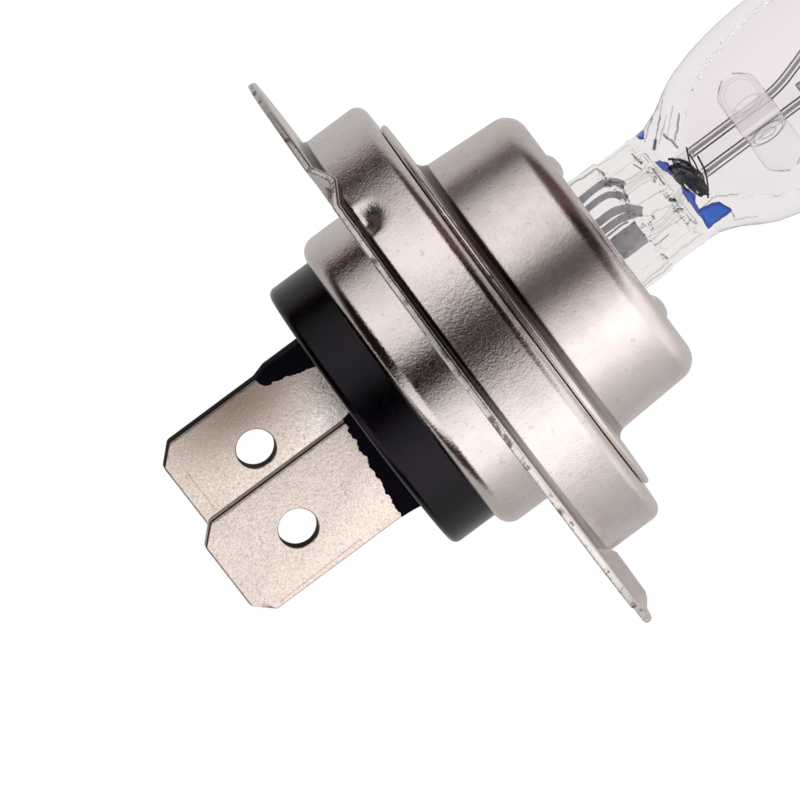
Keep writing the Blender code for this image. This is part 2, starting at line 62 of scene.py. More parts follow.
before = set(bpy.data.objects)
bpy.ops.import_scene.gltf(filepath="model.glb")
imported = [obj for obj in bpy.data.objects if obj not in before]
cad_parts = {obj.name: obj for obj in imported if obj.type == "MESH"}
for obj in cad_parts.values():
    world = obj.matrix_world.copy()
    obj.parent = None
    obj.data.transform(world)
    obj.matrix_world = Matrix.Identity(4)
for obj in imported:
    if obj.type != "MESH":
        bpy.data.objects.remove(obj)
CAD_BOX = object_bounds()
MM = 0.001
DOUBLES = 1e-7  # points this close, in metres, are one


# ---------------------------------------------------------------- sizes and colours


def size(name, description, default):
    """A length given in millimetres, held in metres and shown in the scene's units."""
    return FloatProperty(name=name, description=description, default=default * MM, unit="LENGTH", precision=5)


def colour(name, description, default):
    limits = {"size": 3, "min": 0.0, "max": 1.0, "subtype": "COLOR"}
    return FloatVectorProperty(name=name, description=description, default=default, **limits)


def angle(name, description, degrees):
    turn = radians(degrees)
    return FloatProperty(name=name, description=description, default=turn, unit="ROTATION", subtype="ANGLE")


class CapSizes(bpy.types.PropertyGroup):
    """The stamped shells of the cap."""

    sheet: size("Ring sheet", "Thickness of the flange plate and its cup", 0.45)
    ring_radius: size("Ring radius", "Outside of the shallow cup", 13.75)
    ring_hole: size("Ring hole", "Opening in the front of the shallow cup", 9.6)
    ring_round: size("Ring rounding", "Radius of the shallow cup's front edge", 0.7)
    ring_fillet: size("Ring fillet", "Radius where the cup rises from the plate", 0.42)
    plate_radius: size("Plate radius", "Outside of the flange plate between its lugs", 14.45)
    lug_reach: size("Lug reach", "Distance from the lamp axis to the end of a lug", 18.05)
    lug_breadth: size("Lug breadth", "Half width of the oval that forms the lugs", 12.7)
    boss_angle: angle("Boss angle", "Place of the first pressed boss, from the near side", -47.0)
    boss_height: size("Boss height", "How far a boss rises from the plate", 0.65)
    boss_half_width: size("Boss half width", "Distance from a boss's ridge to its foot", 1.35)
    barrel_radius: size("Barrel radius", "Outside of the rear barrel", 9.45)
    barrel_mouth: size("Barrel mouth", "Opening behind the barrel's shoulder", 8.55)
    barrel_shoulder: size("Barrel shoulder", "Radius of the rounded shoulder", 0.95)
    barrel_wall: size("Barrel wall", "Thickness of the barrel", 0.4)
    cup_base: size("Cup base radius", "Outside of the front cup at its foot", 8.85)
    cup_crown: size("Cup crown radius", "Outside of the front cup at its front edge", 8.62)
    cup_round: size("Cup rounding", "Radius of the front cup's front edge", 1.3)
    cup_fillet: size("Cup fillet", "Radius at the front cup's foot", 0.7)
    cup_sheet: size("Cup sheet", "Thickness of the front cup", 0.35)
    slot_length: size("Slot length", "Opening for the burner, along the lugs", 7.7)
    slot_breadth: size("Slot breadth", "Opening for the burner, front to back", 4.1)


class TerminalSizes(bpy.types.PropertyGroup):
    """The two blades and how they stand in the moulding."""

    turn: angle("Turn", "Turn of the blades about the lamp axis", 20.0)
    width: size("Width", "Blade width", 6.3)
    sheet: size("Sheet", "Blade thickness", 0.8)
    offset: size("Offset", "Sideways distance of each blade from the axis", 1.65)
    shift: size("Shift", "Distance of both blades, and again of their holes, towards +X", 0.1)
    spacing: size("Spacing", "Distance between the two blades", 5.0)
    hole: size("Latch hole", "Diameter of the latch hole", 2.2)
    hole_from_tip: size("Hole from tip", "Distance from the tip to the middle of the hole", 4.62)
    chamfer: size("Corner", "Size of the cut corners", 1.05)


class MouldingSizes(bpy.types.PropertyGroup):
    """The black moulding."""

    disc_radius: size("Disc radius", "Outside of the disc behind the barrel", 8.49)
    disc_round: size("Disc rounding", "Radius of the disc's rear edge", 0.42)
    pad_proud: size("Pad height", "How far a pad stands proud of a blade", 0.5)
    ragged: size("Ragged edge", "Depth of the uneven edge on the blades", 0.16)


class GlassSizes(bpy.types.PropertyGroup):
    """The quartz burner and what is sealed in it."""

    pinch_width: size("Pinch width", "Width of the flat seal", 7.1)
    pinch_rib: size("Rib depth", "Front to back size of the seal's edge ribs", 3.4)
    pinch_web: size("Web depth", "Front to back size of the seal between the ribs", 2.2)
    lead_radius: size("Lead radius", "Radius of the lead wires", 0.3)
    coil_radius: size("Coil radius", "Radius of the filament's coil", 0.66)
    coil_wire: size("Coil wire", "Radius of the filament's wire", 0.11)
    coil_turns: IntProperty(name="Coil turns", description="Turns of the filament", default=10, min=3, max=30)


class Finishes(bpy.types.PropertyGroup):
    """Colours of the finishes."""

    nickel: colour("Nickel", "Satin nickel plate of the cap", (0.87, 0.79, 0.76))
    nickel_stain: colour("Nickel stain", "Duller plate in the stains", (0.60, 0.50, 0.46))
    terminal: colour("Terminal", "Warm plate of the blades", (0.98, 0.87, 0.80))
    terminal_pit: colour("Terminal pits", "Pits and stains of the blades", (0.30, 0.24, 0.21))
    terminal_brown: colour("Terminal mottle", "Browner grains of the blades", (0.46, 0.33, 0.26))
    # Colour of the painted shade on the far blade's upper part; the plate itself is the same as the near
    # blade's
    far_blade_painted_shade: colour("Terminal shade", "Deeper plate on the far blade", (0.27, 0.205, 0.17))
    moulding: colour("Moulding", "Black moulding", (0.0022, 0.0012, 0.0036))
    quartz: colour("Quartz", "Clear quartz", (0.985, 0.965, 0.97))
    blue: colour("Blue stain", "Blue film at the neck", (0.004, 0.026, 0.34))
    blue_edge: colour("Blue stain edge", "Denser blue at the film's border", (0.002, 0.006, 0.12))
    wire: colour("Wire", "Lead wires", (0.56, 0.53, 0.54))
    foil: colour("Foil", "Seal foils", (0.36, 0.35, 0.38))
    foil_seen: colour("Foil in glass", "Seal foils as they look in the quartz", (0.66, 0.64, 0.69))
    tungsten: colour("Tungsten", "Filament", (0.33, 0.33, 0.36))
    coat: colour("Tip coat", "Opaque coat on the tip", (0.018, 0.018, 0.022))


class StageSettings(bpy.types.PropertyGroup):
    """Camera and light."""

    distance: size("Distance", "From the camera to the lamp axis", 450.0)
    view_width: size("View width", "What the picture's width takes in at the lamp axis", 43.24)
    tilt: angle("Tilt", "Camera above the lamp's cross plane", 1.7)
    roll: angle("Axis angle", "Lamp axis above the horizontal in the picture", 36.6)
    aim_x: size("Aim X", "Middle of the picture, along the lugs", 0.45)
    aim_z: size("Aim Z", "Middle of the picture, along the lamp axis", -3.94)
    floor_drop: size("Floor drop", "From the blade tips down to the floor", 0.4)


GROUPS = {
    "bulb_cap": CapSizes, "bulb_terminals": TerminalSizes, "bulb_moulding": MouldingSizes,
    "bulb_glass": GlassSizes, "bulb_finishes": Finishes, "bulb_stage": StageSettings,
}


class InMillimetres:
    """A property group's lengths in millimetres; its other values as they are."""

    def __init__(self, group):
        self.group = group

    def __getattr__(self, name):
        value = getattr(self.group, name)
        unit = self.group.bl_rna.properties[name].unit
        return value / MM if unit == "LENGTH" else value


def settings(name):
    return InMillimetres(getattr(bpy.context.scene, name))


def node_span(node, axis=2):
    """Lowest and highest place of a packed node along an axis, in millimetres."""
    low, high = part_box(node)
    return low[axis] / MM, high[axis] / MM


# ---------------------------------------------------------------- mesh making


def finished(obj, material, slot, *stands_for):
    """Gives a piece its finish, links it to its body and hides the packed nodes that it stands for."""
    obj.data.materials.clear()
    obj.data.materials.append(material)
    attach(obj, "root")
    if stands_for:
        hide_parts(*stands_for)


def linked(name, mesh):
    obj = bpy.data.objects.new(name, mesh)
    bpy.context.collection.objects.link(obj)
    return obj


def turn_out(work):
    """Merges doubles and makes the faces point outwards."""
    bmesh.ops.remove_doubles(work, verts=work.verts, dist=DOUBLES)
    bmesh.ops.recalc_face_normals(work, faces=work.faces)
    if work.calc_volume(signed=True) < 0:
        bmesh.ops.reverse_faces(work, faces=work.faces)


def skinned(name, rings, ends="caps", sharp=40.0):
    """A smooth-shaded body through equal rings of points in millimetres, its end rings capped or joined."""
    work = bmesh.new()
    loops = [[work.verts.new(point) for point in ring] for ring in rings]
    pairs = list(zip(loops, loops[1:]))
    if ends == "join":
        pairs.append((loops[-1], loops[0]))
    else:
        work.faces.new(loops[0])
        work.faces.new(loops[-1])
    for low, high in pairs:
        for i, vertex in enumerate(low):
            work.faces.new((low[i - 1], vertex, high[i], high[i - 1]))
    bmesh.ops.scale(work, vec=(MM, MM, MM), verts=work.verts)
    turn_out(work)
    mesh = bpy.data.meshes.new(name)
    work.to_mesh(mesh)
    work.free()
    mesh.shade_smooth()
    mesh.set_sharp_from_angle(angle=radians(sharp))
    return linked(name, mesh)


def arc(centre, radius, start, end, steps):
    """Points of an arc, with angles in degrees from the first axis towards the second."""
    angles = [radians(start + (end - start) * i / steps) for i in range(steps + 1)]
    return [(centre[0] + radius * cos(a), centre[1] + radius * sin(a)) for a in angles]


def circle_angles(count):
    return [2 * pi * i / count for i in range(count)]


def rectangle(x0, x1, y0, y1):
    return [(x0, y0), (x1, y0), (x1, y1), (x0, y1)]


def rounded(outline, radius, steps):
    """The closed outline with every corner rounded off."""
    found = []
    for i, point in enumerate(outline):
        corner, last = Vector(point), Vector(outline[i - 1])
        following = Vector(outline[(i + 1) % len(outline)])
        before = corner.lerp(last, radius / (corner - last).length)
        after = corner.lerp(following, radius / (corner - following).length)
        for j in range(steps + 1):
            part = j / steps
            found.append(tuple(before.lerp(corner, part).lerp(corner.lerp(after, part), part)))
    return found


def smooth_path(knots, steps):
    """Points of a Catmull-Rom curve through the knots."""
    knots = [Vector(knot) for knot in knots]
    ends = [knots[0] * 2 - knots[1], *knots, knots[-1] * 2 - knots[-2]]
    found = []
    for a, b, c, d in zip(ends, ends[1:], ends[2:], ends[3:]):
        for j in range(steps):
            t = j / steps
            square = (a * 2 - b * 5 + c * 4 - d) * t**2
            found.append((b * 2 + (c - a) * t + square + (b * 3 - a - c * 3 + d) * t**3) / 2)
    return [*found, knots[-1]]


def divided(points, longest):
    """The path with extra points, so that no step is longer than this."""
    found = [Vector(points[0])]
    for point in points[1:]:
        start, end = found[-1], Vector(point)
        count = max(1, int((end - start).length / longest) + 1)
        found += [start.lerp(end, (i + 1) / count) for i in range(count)]
    return found


def unevenness(x, y, z, wavelength, seed=0.0):
    """Smooth noise from -1 to 1 at a point, with the given wavelength."""
    return noise.noise(Vector((x / wavelength + seed, y / wavelength, z / wavelength)))


def applied(obj):
    """Makes what the object's modifiers show its plain mesh."""
    graph = bpy.context.evaluated_depsgraph_get()
    mesh = bpy.data.meshes.new_from_object(obj.evaluated_get(graph))
    obj.modifiers.clear()
    obj.data = mesh
    return mesh


def cut(obj, tool, operation="DIFFERENCE"):
    """Applies a Boolean and removes the tool."""
    modifier = obj.modifiers.new("Cut", "BOOLEAN")
    modifier.operation = operation
    modifier.solver = "EXACT"
    modifier.object = tool
    mesh = applied(obj)
    bpy.data.objects.remove(tool, do_unlink=True)
    mesh.shade_smooth()
    mesh.set_sharp_from_angle(angle=radians(30))
    return obj


def curve_mesh(name, points, closed=False):
    """A mesh of edges along points in millimetres, as the input of a Geometry Nodes tree."""
    mesh = bpy.data.meshes.new(name)
    count = len(points)
    edges = [(i, (i + 1) % count) for i in range(count if closed else count - 1)]
    mesh.from_pydata([Vector(point) * MM for point in points], edges, [])
    return linked(name, mesh)


# ---------------------------------------------------------------- Geometry Nodes trees


class Wiring:
    """A node tree that is wired up by name."""

    def __init__(self, tree):
        self.tree = tree

    def join(self, sockets, inputs):
        """Links each named input to a socket, or sets it to a value."""
        for key, value in inputs.items():
            if isinstance(value, bpy.types.NodeSocket):
                self.tree.links.new(value, sockets[key])
            else:
                sockets[key].default_value = value

    def node(self, kind, inputs=None, **values):
        """A new node with its settings and inputs; returns its outputs."""
        made = self.tree.nodes.new(kind)
        for key, value in values.items():
            setattr(made, key, value)
        self.join(made.inputs, inputs or {})
        return made.outputs


class ShapeTree(Wiring):
    """A Geometry Nodes tree that ends in real, smooth-shaded faces with the material that it is given."""

    def __init__(self, name, **inputs):
        super().__init__(bpy.data.node_groups.new(name, "GeometryNodeTree"))
        for label, kind in {"Geometry": "Geometry", **inputs, "Material": "Material"}.items():
            label, kind = label.replace("_", " "), f"NodeSocket{kind}"
            self.tree.interface.new_socket(label, in_out="INPUT", socket_type=kind)
        self.tree.interface.new_socket("Geometry", in_out="OUTPUT", socket_type="NodeSocketGeometry")
        self.source = self.tree.nodes.new("NodeGroupInput").outputs

    def path(self):
        return self.node("GeometryNodeMeshToCurve", {"Mesh": self.source["Geometry"]})["Curve"]

    def circle(self, resolution, radius):
        inputs = {"Resolution": resolution, "Radius": radius}
        return self.node("GeometryNodeCurvePrimitiveCircle", inputs)["Curve"]

    def swept(self, path, profile, caps):
        inputs = {"Curve": path, "Profile Curve": profile, "Fill Caps": caps}
        return self.node("GeometryNodeCurveToMesh", inputs)["Mesh"]

    def finish(self, geometry):
        geometry = self.node("GeometryNodeRealizeInstances", {"Geometry": geometry})["Geometry"]
        geometry = self.node("GeometryNodeSetShadeSmooth", {"Geometry": geometry})["Geometry"]
        inputs = {"Geometry": geometry, "Material": self.source["Material"]}
        self.node("NodeGroupOutput", {"Geometry": self.node("GeometryNodeSetMaterial", inputs)["Geometry"]})
        return self.tree


def turned_shell_tree():
    """Turns a closed profile, drawn with its radius along X and its height along Y, about the lamp axis."""
    tree = ShapeTree("Turned shell", Steps="Int", Mean_Radius="Float")
    circle = tree.circle(tree.source["Steps"], tree.source["Mean Radius"])
    upright = tree.node("GeometryNodeSetCurveNormal", {"Curve": circle}, mode="Z_UP")["Curve"]
    return tree.finish(tree.swept(upright, tree.path(), False))


def wire_tree():
    """A round wire along a path, with closed ends."""
    tree = ShapeTree("Round wire", Radius="Float", Sides="Int")
    ring = tree.circle(tree.source["Sides"], tree.source["Radius"])
    return tree.finish(tree.swept(tree.path(), ring, True))


def coil_tree():
    """A coil of round wire that rises along the lamp axis."""
    floats = {label: "Float" for label in ("Turns", "Coil_Radius", "Height", "Wire_Radius")}
    tree = ShapeTree("Coil", **floats, Start="Vector", Sides="Int")
    source = tree.source
    sizes = {"Resolution": 40, "Rotations": source["Turns"], "Height": source["Height"]}
    sizes.update({"Start Radius": source["Coil Radius"], "End Radius": source["Coil Radius"]})
    placing = {"Geometry": tree.node("GeometryNodeCurveSpiral", sizes)["Curve"]}
    placing["Translation"] = source["Start"]
    path = tree.node("GeometryNodeTransform", placing)["Geometry"]
    return tree.finish(tree.swept(path, tree.circle(source["Sides"], source["Wire Radius"]), True))


def through_tree(obj, make, name, values):
    """Runs an object through a shared tree, keeps the result as its plain mesh and turns its faces out."""
    modifier = obj.modifiers.new(name, "NODES")
    modifier.node_group = bpy.data.node_groups.get(name) or make()
    for item in modifier.node_group.interface.items_tree:
        if item.in_out == "INPUT" and item.name in values:
            modifier[item.identifier] = values[item.name]
    mesh = applied(obj)
    work = bmesh.new()
    work.from_mesh(mesh)
    turn_out(work)
    work.to_mesh(mesh)
    work.free()
    mesh.set_sharp_from_angle(angle=radians(40))
    return obj


def turned(name, profile, material, steps=320):
    """A shell of revolution from a closed profile of (radius, z) in millimetres."""
    mean = sum(radius for radius, _ in profile) / len(profile)
    guide = curve_mesh(name, [(radius - mean, -z, 0.0) for radius, z in profile], closed=True)
    values = {"Steps": steps, "Mean Radius": mean * MM, "Material": material}
    return through_tree(guide, turned_shell_tree, "Turned shell", values)


def wire(name, path, radius, material, sides=20):
    """A round wire along points in millimetres."""
    values = {"Radius": radius * MM, "Sides": sides, "Material": material}
    return through_tree(curve_mesh(name, path), wire_tree, "Round wire", values)


# ---------------------------------------------------------------- shader groups and finishes


class Shader(Wiring):
    """A shader tree, in a material, in a shared group or in the world."""

    def maths(self, operation, first, second=0.0):
        return self.node("ShaderNodeMath", {0: first, 1: second}, operation=operation)["Value"]

    def times(self, first, second):
        return self.maths("MULTIPLY", first, second)

    def vector(self, operation, first, second=(0.0, 0.0, 0.0)):
        """Vector maths; its result is a number for a length or a dot product."""
        made = self.node("ShaderNodeVectorMath", {0: first, 1: second}, operation=operation)
        return made["Value" if operation in ("LENGTH", "DOT_PRODUCT") else "Vector"]

    def scaled(self, vector, factor):
        return self.node("ShaderNodeVectorMath", {0: vector, "Scale": factor}, operation="SCALE")["Vector"]

    def split(self, vector):
        return self.node("ShaderNodeSeparateXYZ", {"Vector": vector})

    def stepped(self, value, low, high, start=0.0, end=1.0):
        """value eased from start to end as it goes from low to high."""
        inputs = {"Value": value, "From Min": low, "From Max": high, "To Min": start, "To Max": end}
        return self.node("ShaderNodeMapRange", inputs, interpolation_type="SMOOTHSTEP")["Result"]

    def noise(self, vector, scale, detail=2.0, roughness=0.5, result="Fac"):
        inputs = {"Vector": vector, "Scale": scale, "Detail": detail, "Roughness": roughness}
        return self.node("ShaderNodeTexNoise", inputs)[result]

    def mixed(self, factor, first, second):
        """The first colour turned into the second by a factor from 0 to 1."""
        pair = [c if isinstance(c, bpy.types.NodeSocket) else (*c[:3], 1.0) for c in (first, second)]
        return self.node("ShaderNodeMix", {0: factor, 6: pair[0], 7: pair[1]}, data_type="RGBA")[2]

    def shared(self, make, name, inputs):
        """Places a shared shader group, building it the first time; returns its outputs."""
        made = self.tree.nodes.new("ShaderNodeGroup")
        made.node_tree = bpy.data.node_groups.get(name) or make(name)
        self.join(made.inputs, inputs)
        return made.outputs


def shader_group(name, inputs, outputs):
    """An empty shader group and its inputs: numbers with a default, and vectors without one."""
    group = bpy.data.node_groups.new(name, "ShaderNodeTree")
    for label, default in inputs.items():
        kind = "NodeSocketVector" if default is None else "NodeSocketFloat"
        socket = group.interface.new_socket(label, in_out="INPUT", socket_type=kind)
        if default is not None:
            socket.default_value = default
    for label in outputs:
        group.interface.new_socket(label, in_out="OUTPUT", socket_type="NodeSocketFloat")
    return Shader(group), group.nodes.new("NodeGroupInput").outputs


def grain_group(name):
    """Fine rolled and plated grain: a height, a mask of the dull spots, and wide clouds."""
    inputs = {"Vector": None, "Grain Size": 0.0002, "Spots": 0.5}
    shader, source = shader_group(name, inputs, ("Height", "Spot Mask", "Cloud"))
    scale = shader.maths("DIVIDE", 1.0, source["Grain Size"])

    def noise(coarser, detail, roughness):
        return shader.noise(source["Vector"], shader.maths("DIVIDE", scale, coarser), detail, roughness)

    fine, coarse = noise(1.0, 3.0, 0.6), noise(3.3, 2.0, 0.5)
    height = shader.maths("ADD", shader.times(fine, 0.62), shader.times(coarse, 0.38))
    edge = shader.maths("SUBTRACT", 1.0, shader.times(source["Spots"], 0.5))
    mask = shader.stepped(noise(2.1, 1.0, 0.4), edge, shader.maths("ADD", edge, 0.08))
    cloud = shader.stepped(noise(26.0, 3.0, 0.6), 0.35, 0.7)
    shader.node("NodeGroupOutput", {"Height": height, "Spot Mask": mask, "Cloud": cloud})
    return shader.tree


def patch_group(name):
    """A soft-edged oval patch around a point: 1 inside, 0 outside."""
    inputs = {"Vector": None, "Centre": None, "Size": None, "Softness": 0.2}
    shader, source = shader_group(name, inputs, ("Mask",))
    away = shader.vector("SUBTRACT", source["Vector"], source["Centre"])
    reach = shader.vector("LENGTH", shader.vector("DIVIDE", away, source["Size"]))
    inner = shader.maths("SUBTRACT", 1.0, source["Softness"])
    shader.node("NodeGroupOutput", {"Mask": shader.stepped(reach, inner, 1.0, 1.0, 0.0)})
    return shader.tree


def fold_group(name):
    """A soft line from one point to another, seen from the front: 1 on the line, 0 beside it."""
    inputs = {"Vector": None, "Start": None, "Along": None, "Width": 0.0001}
    shader, source = shader_group(name, inputs, ("Mask",))
    flat = shader.vector("MULTIPLY", source["Vector"], (1.0, 0.0, 1.0))
    away = shader.vector("SUBTRACT", flat, source["Start"])
    dots = [shader.vector("DOT_PRODUCT", first, source["Along"]) for first in (away, source["Along"])]
    part = shader.node("ShaderNodeClamp", {"Value": shader.maths("DIVIDE", *dots)})["Result"]
    gap = shader.vector("LENGTH", shader.vector("SUBTRACT", away, shader.scaled(source["Along"], part)))
    near = shader.maths("DIVIDE", gap, source["Width"])
    shader.node("NodeGroupOutput", {"Mask": shader.stepped(near, 0.3, 1.0, 1.0, 0.0)})
    return shader.tree


class Surface(Shader):
    """A new material, with its Principled shader's constants set; lengths are given in millimetres."""

    def __init__(self, name, **constants):
        self.material = bpy.data.materials.new(name)
        self.material.use_nodes = True
        super().__init__(self.material.node_tree)
        self.ends = self.tree.nodes["Principled BSDF"].inputs
        self.feed(**constants)
        self.place = self.node("ShaderNodeTexCoord")["Object"]

    def feed(self, **values):
        """Sets or links the Principled shader's sockets."""
        self.join(self.ends, {label.replace("_", " "): value for label, value in values.items()})

    def relief(self, height, depth):
        bump = {"Height": height, "Strength": 1.0, "Distance": depth * MM}
        self.feed(Normal=self.node("ShaderNodeBump", bump)["Normal"])

    def grain(self, size, spots):
        """Outputs of the grain group."""
        inputs = {"Vector": self.place, "Grain Size": size * MM, "Spots": spots}
        return self.shared(grain_group, "Metal grain", inputs)

    def by_grain(self, grain, low, high):
        """A value from low to high that follows the grain's height."""
        return self.stepped(grain["Height"], 0.3, 0.7, low, high)

    def cloud(self, size, detail=3.0, roughness=0.6, vector=None):
        """Noise with features of this size."""
        return self.noise(self.place if vector is None else vector, 1 / (size * MM), detail, roughness)

    def patch(self, centre, reach, softness):
        inputs = {"Vector": self.place, "Centre": Vector(centre) * MM, "Size": Vector(reach) * MM}
        return self.shared(patch_group, "Patch", {**inputs, "Softness": softness})["Mask"]

    def line(self, start, finish, width, vector=None):
        """Mask of a line between two points in (x, z)."""
        start, finish = (Vector((x, 0.0, z)) * MM for x, z in (start, finish))
        inputs = {"Vector": self.place if vector is None else vector, "Start": start, "Along": finish - start}
        return self.shared(fold_group, "Fold", {**inputs, "Width": width * MM})["Mask"]

    def crease_shade(self, radius_low, radius_high, low, high):
        """Painted shade in a turned inside corner: a band by radius and height, fading towards +X."""
        where = self.split(self.place)
        radius = self.vector("LENGTH", self.vector("MULTIPLY", self.place, (1.0, 1.0, 0.0)))
        mask = self.stepped(where["X"], 2.0 * MM, 9.0 * MM, 0.93, 0.55)
        for value, edge, softness in (
            (radius, radius_low, 0.05), (radius, radius_high, -0.08),
            (where["Z"], low, 0.03), (where["Z"], high, -0.12),
        ):
            mask = self.times(mask, self.stepped(value, edge * MM, (edge + softness) * MM))
        return mask


# Colour of the painted shade in the cap's inside corners
CREASE_SHADE = (0.045, 0.03, 0.028)
TORN_DARK, TORN_BRIGHT = (0.30, 0.25, 0.23), (1.0, 0.97, 0.94)


def plated_metal(name, base, stain, grain, bump, rough, spots=0.5, rim=False, crease_shade=None):
    """Satin plated metal: fine grain, dull spots, cloudy stains, and a torn rim where it was sheared."""
    surface = Surface(name, Metallic=1.0)
    parts = surface.grain(grain, spots)
    tint = surface.mixed(surface.times(parts["Cloud"], 0.35), base, stain)
    tint = surface.mixed(surface.times(parts["Spot Mask"], 0.5), tint, stain)
    rough = surface.by_grain(parts, *rough)
    if rim:
        torn = surface.node("ShaderNodeAttribute", attribute_name="rim")["Fac"]
        specks = surface.stepped(surface.cloud(0.7, 3.0, 0.7), 0.36, 0.50)
        tint = surface.mixed(torn, tint, surface.mixed(specks, TORN_DARK, TORN_BRIGHT))
        rough = surface.maths("ADD", rough, surface.times(torn, 0.30))
    # Painted shade in the inside corner, stronger towards -X
    if crease_shade:
        tint = surface.mixed(surface.crease_shade(*crease_shade), tint, CREASE_SHADE)
    surface.feed(Base_Color=tint, Roughness=rough)
    surface.relief(parts["Height"], bump)
    return surface.material


def nickel(name, bump, painted_light=1.0, grain=0.14, rough=(0.11, 0.19), spots=0.68, rim=False, crease_shade=None):
    tones = settings("bulb_finishes")
    # A brightness factor above 1 paints light into the plate's colour
    base = tuple(painted_light * value for value in tones.nickel)
    return plated_metal(name, base, tones.nickel_stain, grain, bump, rough, spots, rim, crease_shade)


# ---------------------------------------------------------------- the cap


def plate_reach(cap, azimuth):
    """Outer radius of the flange plate: a disc, blended with a lug on each side, fuller on +X."""
    fullness = 2.6 if sin(azimuth) > 0 else 2.0
    along, across = abs(sin(azimuth)) / cap.lug_reach, abs(cos(azimuth)) / cap.lug_breadth
    lug = (along**fullness + across**fullness) ** (-1 / fullness)
    return (cap.plate_radius**24 + lug**24) ** (1 / 24)


def eased(value):
    value = min(1.0, max(0.0, value))
    return value * value * (3 - 2 * value)


def boss_lift(cap, x, y):
    """Rise of the plate at the three radial bosses: a roof with a slightly rounded ridge and foot."""
    radius, azimuth = hypot(x, y), atan2(x, -y)
    turn = (azimuth - cap.boss_angle) % (2 * pi / 3)
    turn = min(turn, 2 * pi / 3 - turn)
    across = hypot(turn * radius / cap.boss_half_width, 0.1) - 0.1
    roof = max(0.0, 1.0 - across)
    roof = roof * eased(roof / 0.15) if roof < 0.15 else roof
    inward = eased((radius - cap.ring_radius - 0.2) / 0.35)
    past_lugs, fade = 18.2, 0.8
    outward = min(1.0, max(0.0, (past_lugs - radius) / fade))
    return cap.boss_height * roof * inward * outward


def wall_dent(cap, x, y, z):
    """Inward pull of the cup's wall beside a boss."""
    azimuth = atan2(x, -y)
    turn = (azimuth - cap.boss_angle - radians(10)) % (2 * pi / 3)
    turn = min(turn, 2 * pi / 3 - turn)
    depth, half_width, height = 0.5, 1.35, 2.0
    across = eased(1.0 - turn * cap.ring_radius / half_width)
    return depth * across * eased(1.0 - z / height) * eased(z / 0.4)


class BULB_OT_focus_ring(bpy.types.Operator):
    """Flange plate with its lugs and bosses, and the shallow cup pressed out of it"""

    bl_idname = "bulb.focus_ring"
    bl_label = "Focus Ring"

    def execute(self, context):
        cap = settings("bulb_cap")
        top = node_span("focus_ring")[1]
        steps, sheet, foot = 720, cap.sheet, cap.ring_radius + cap.ring_fillet
        roll, burr = 0.18, 0.1
        crown = arc((cap.ring_radius - cap.ring_round, top - cap.ring_round), cap.ring_round, 90, 0, 12)
        wall = divided([(*crown[-1], 0.0), (cap.ring_radius, cap.ring_fillet, 0.0)], 0.25)
        front = [(cap.ring_hole, top - 0.05), (cap.ring_hole + 0.05, top), *crown]
        front += [(point.x, point.y) for point in wall[1:-1]]
        front += arc((foot, cap.ring_fillet), cap.ring_fillet, 180, 270, 8)
        inner = cap.ring_radius - sheet
        back = [(foot, -sheet), *arc((inner + 0.6, 0.15), 0.6, 265, 180, 8)]
        back += arc((inner - 0.35, top - sheet - 0.35), 0.35, 0, 90, 5)
        back += [(cap.ring_hole + 0.05, top - sheet), (cap.ring_hole, top - sheet + 0.05)]
        rings = []
        for j in range(steps):
            azimuth = 2 * pi * j / steps
            reach = plate_reach(cap, azimuth)
            reach += 0.02 * unevenness(reach * sin(azimuth), reach * cos(azimuth), 0.0, 0.7)
            spread = [foot + (reach - roll - foot) * (i + 1) / 10 for i in range(10)]
            land = [(radius, 0.0) for radius in spread] + arc((reach - roll, -roll), roll, 75, 0, 5)
            land += arc((reach - burr, burr - sheet), burr, 0, -60, 3)
            land += [(radius, -sheet) for radius in reversed(spread)]
            ring = []
            for radius, z in front + land + back:
                x, y = radius * sin(azimuth), -radius * cos(azimuth)
                if radius <= cap.ring_radius + 0.01 and 0.0 < z < 2.4:
                    dent = wall_dent(cap, x, y, z)
                    x, y = x * (1 - dent / radius), y * (1 - dent / radius)
                wave = 0.03 * unevenness(x, y, 0.0, 5.0) * eased((radius - foot) / 1.5)
                ring.append((x, y, z + boss_lift(cap, x, y) + wave))
            rings.append(ring)
        ring = skinned("flange_ring", rings, ends="join", sharp=35)
        self.mark_rim(ring.data, cap)
        # Painted shade in the corner where the cup rises from the plate
        crease_shade = (cap.ring_radius - 0.3, foot + 0.1, -0.03, cap.ring_fillet)
        material = nickel("Nickel ring", 0.026, rim=True, crease_shade=crease_shade)
        finished(ring, material, "nickel_plate", "focus_ring")
        return {"FINISHED"}

    def mark_rim(self, mesh, cap):
        """Marks the sheared edge of the plate for its finish."""
        rim = mesh.attributes.new("rim", "FLOAT", "POINT")
        for vertex, value in zip(mesh.vertices, rim.data):
            x, y, z = vertex.co / MM
            short = plate_reach(cap, atan2(x, -y)) - hypot(x, y)
            value.value = 1.0 if short < 0.12 and z - boss_lift(cap, x, y) < -0.16 else 0.0


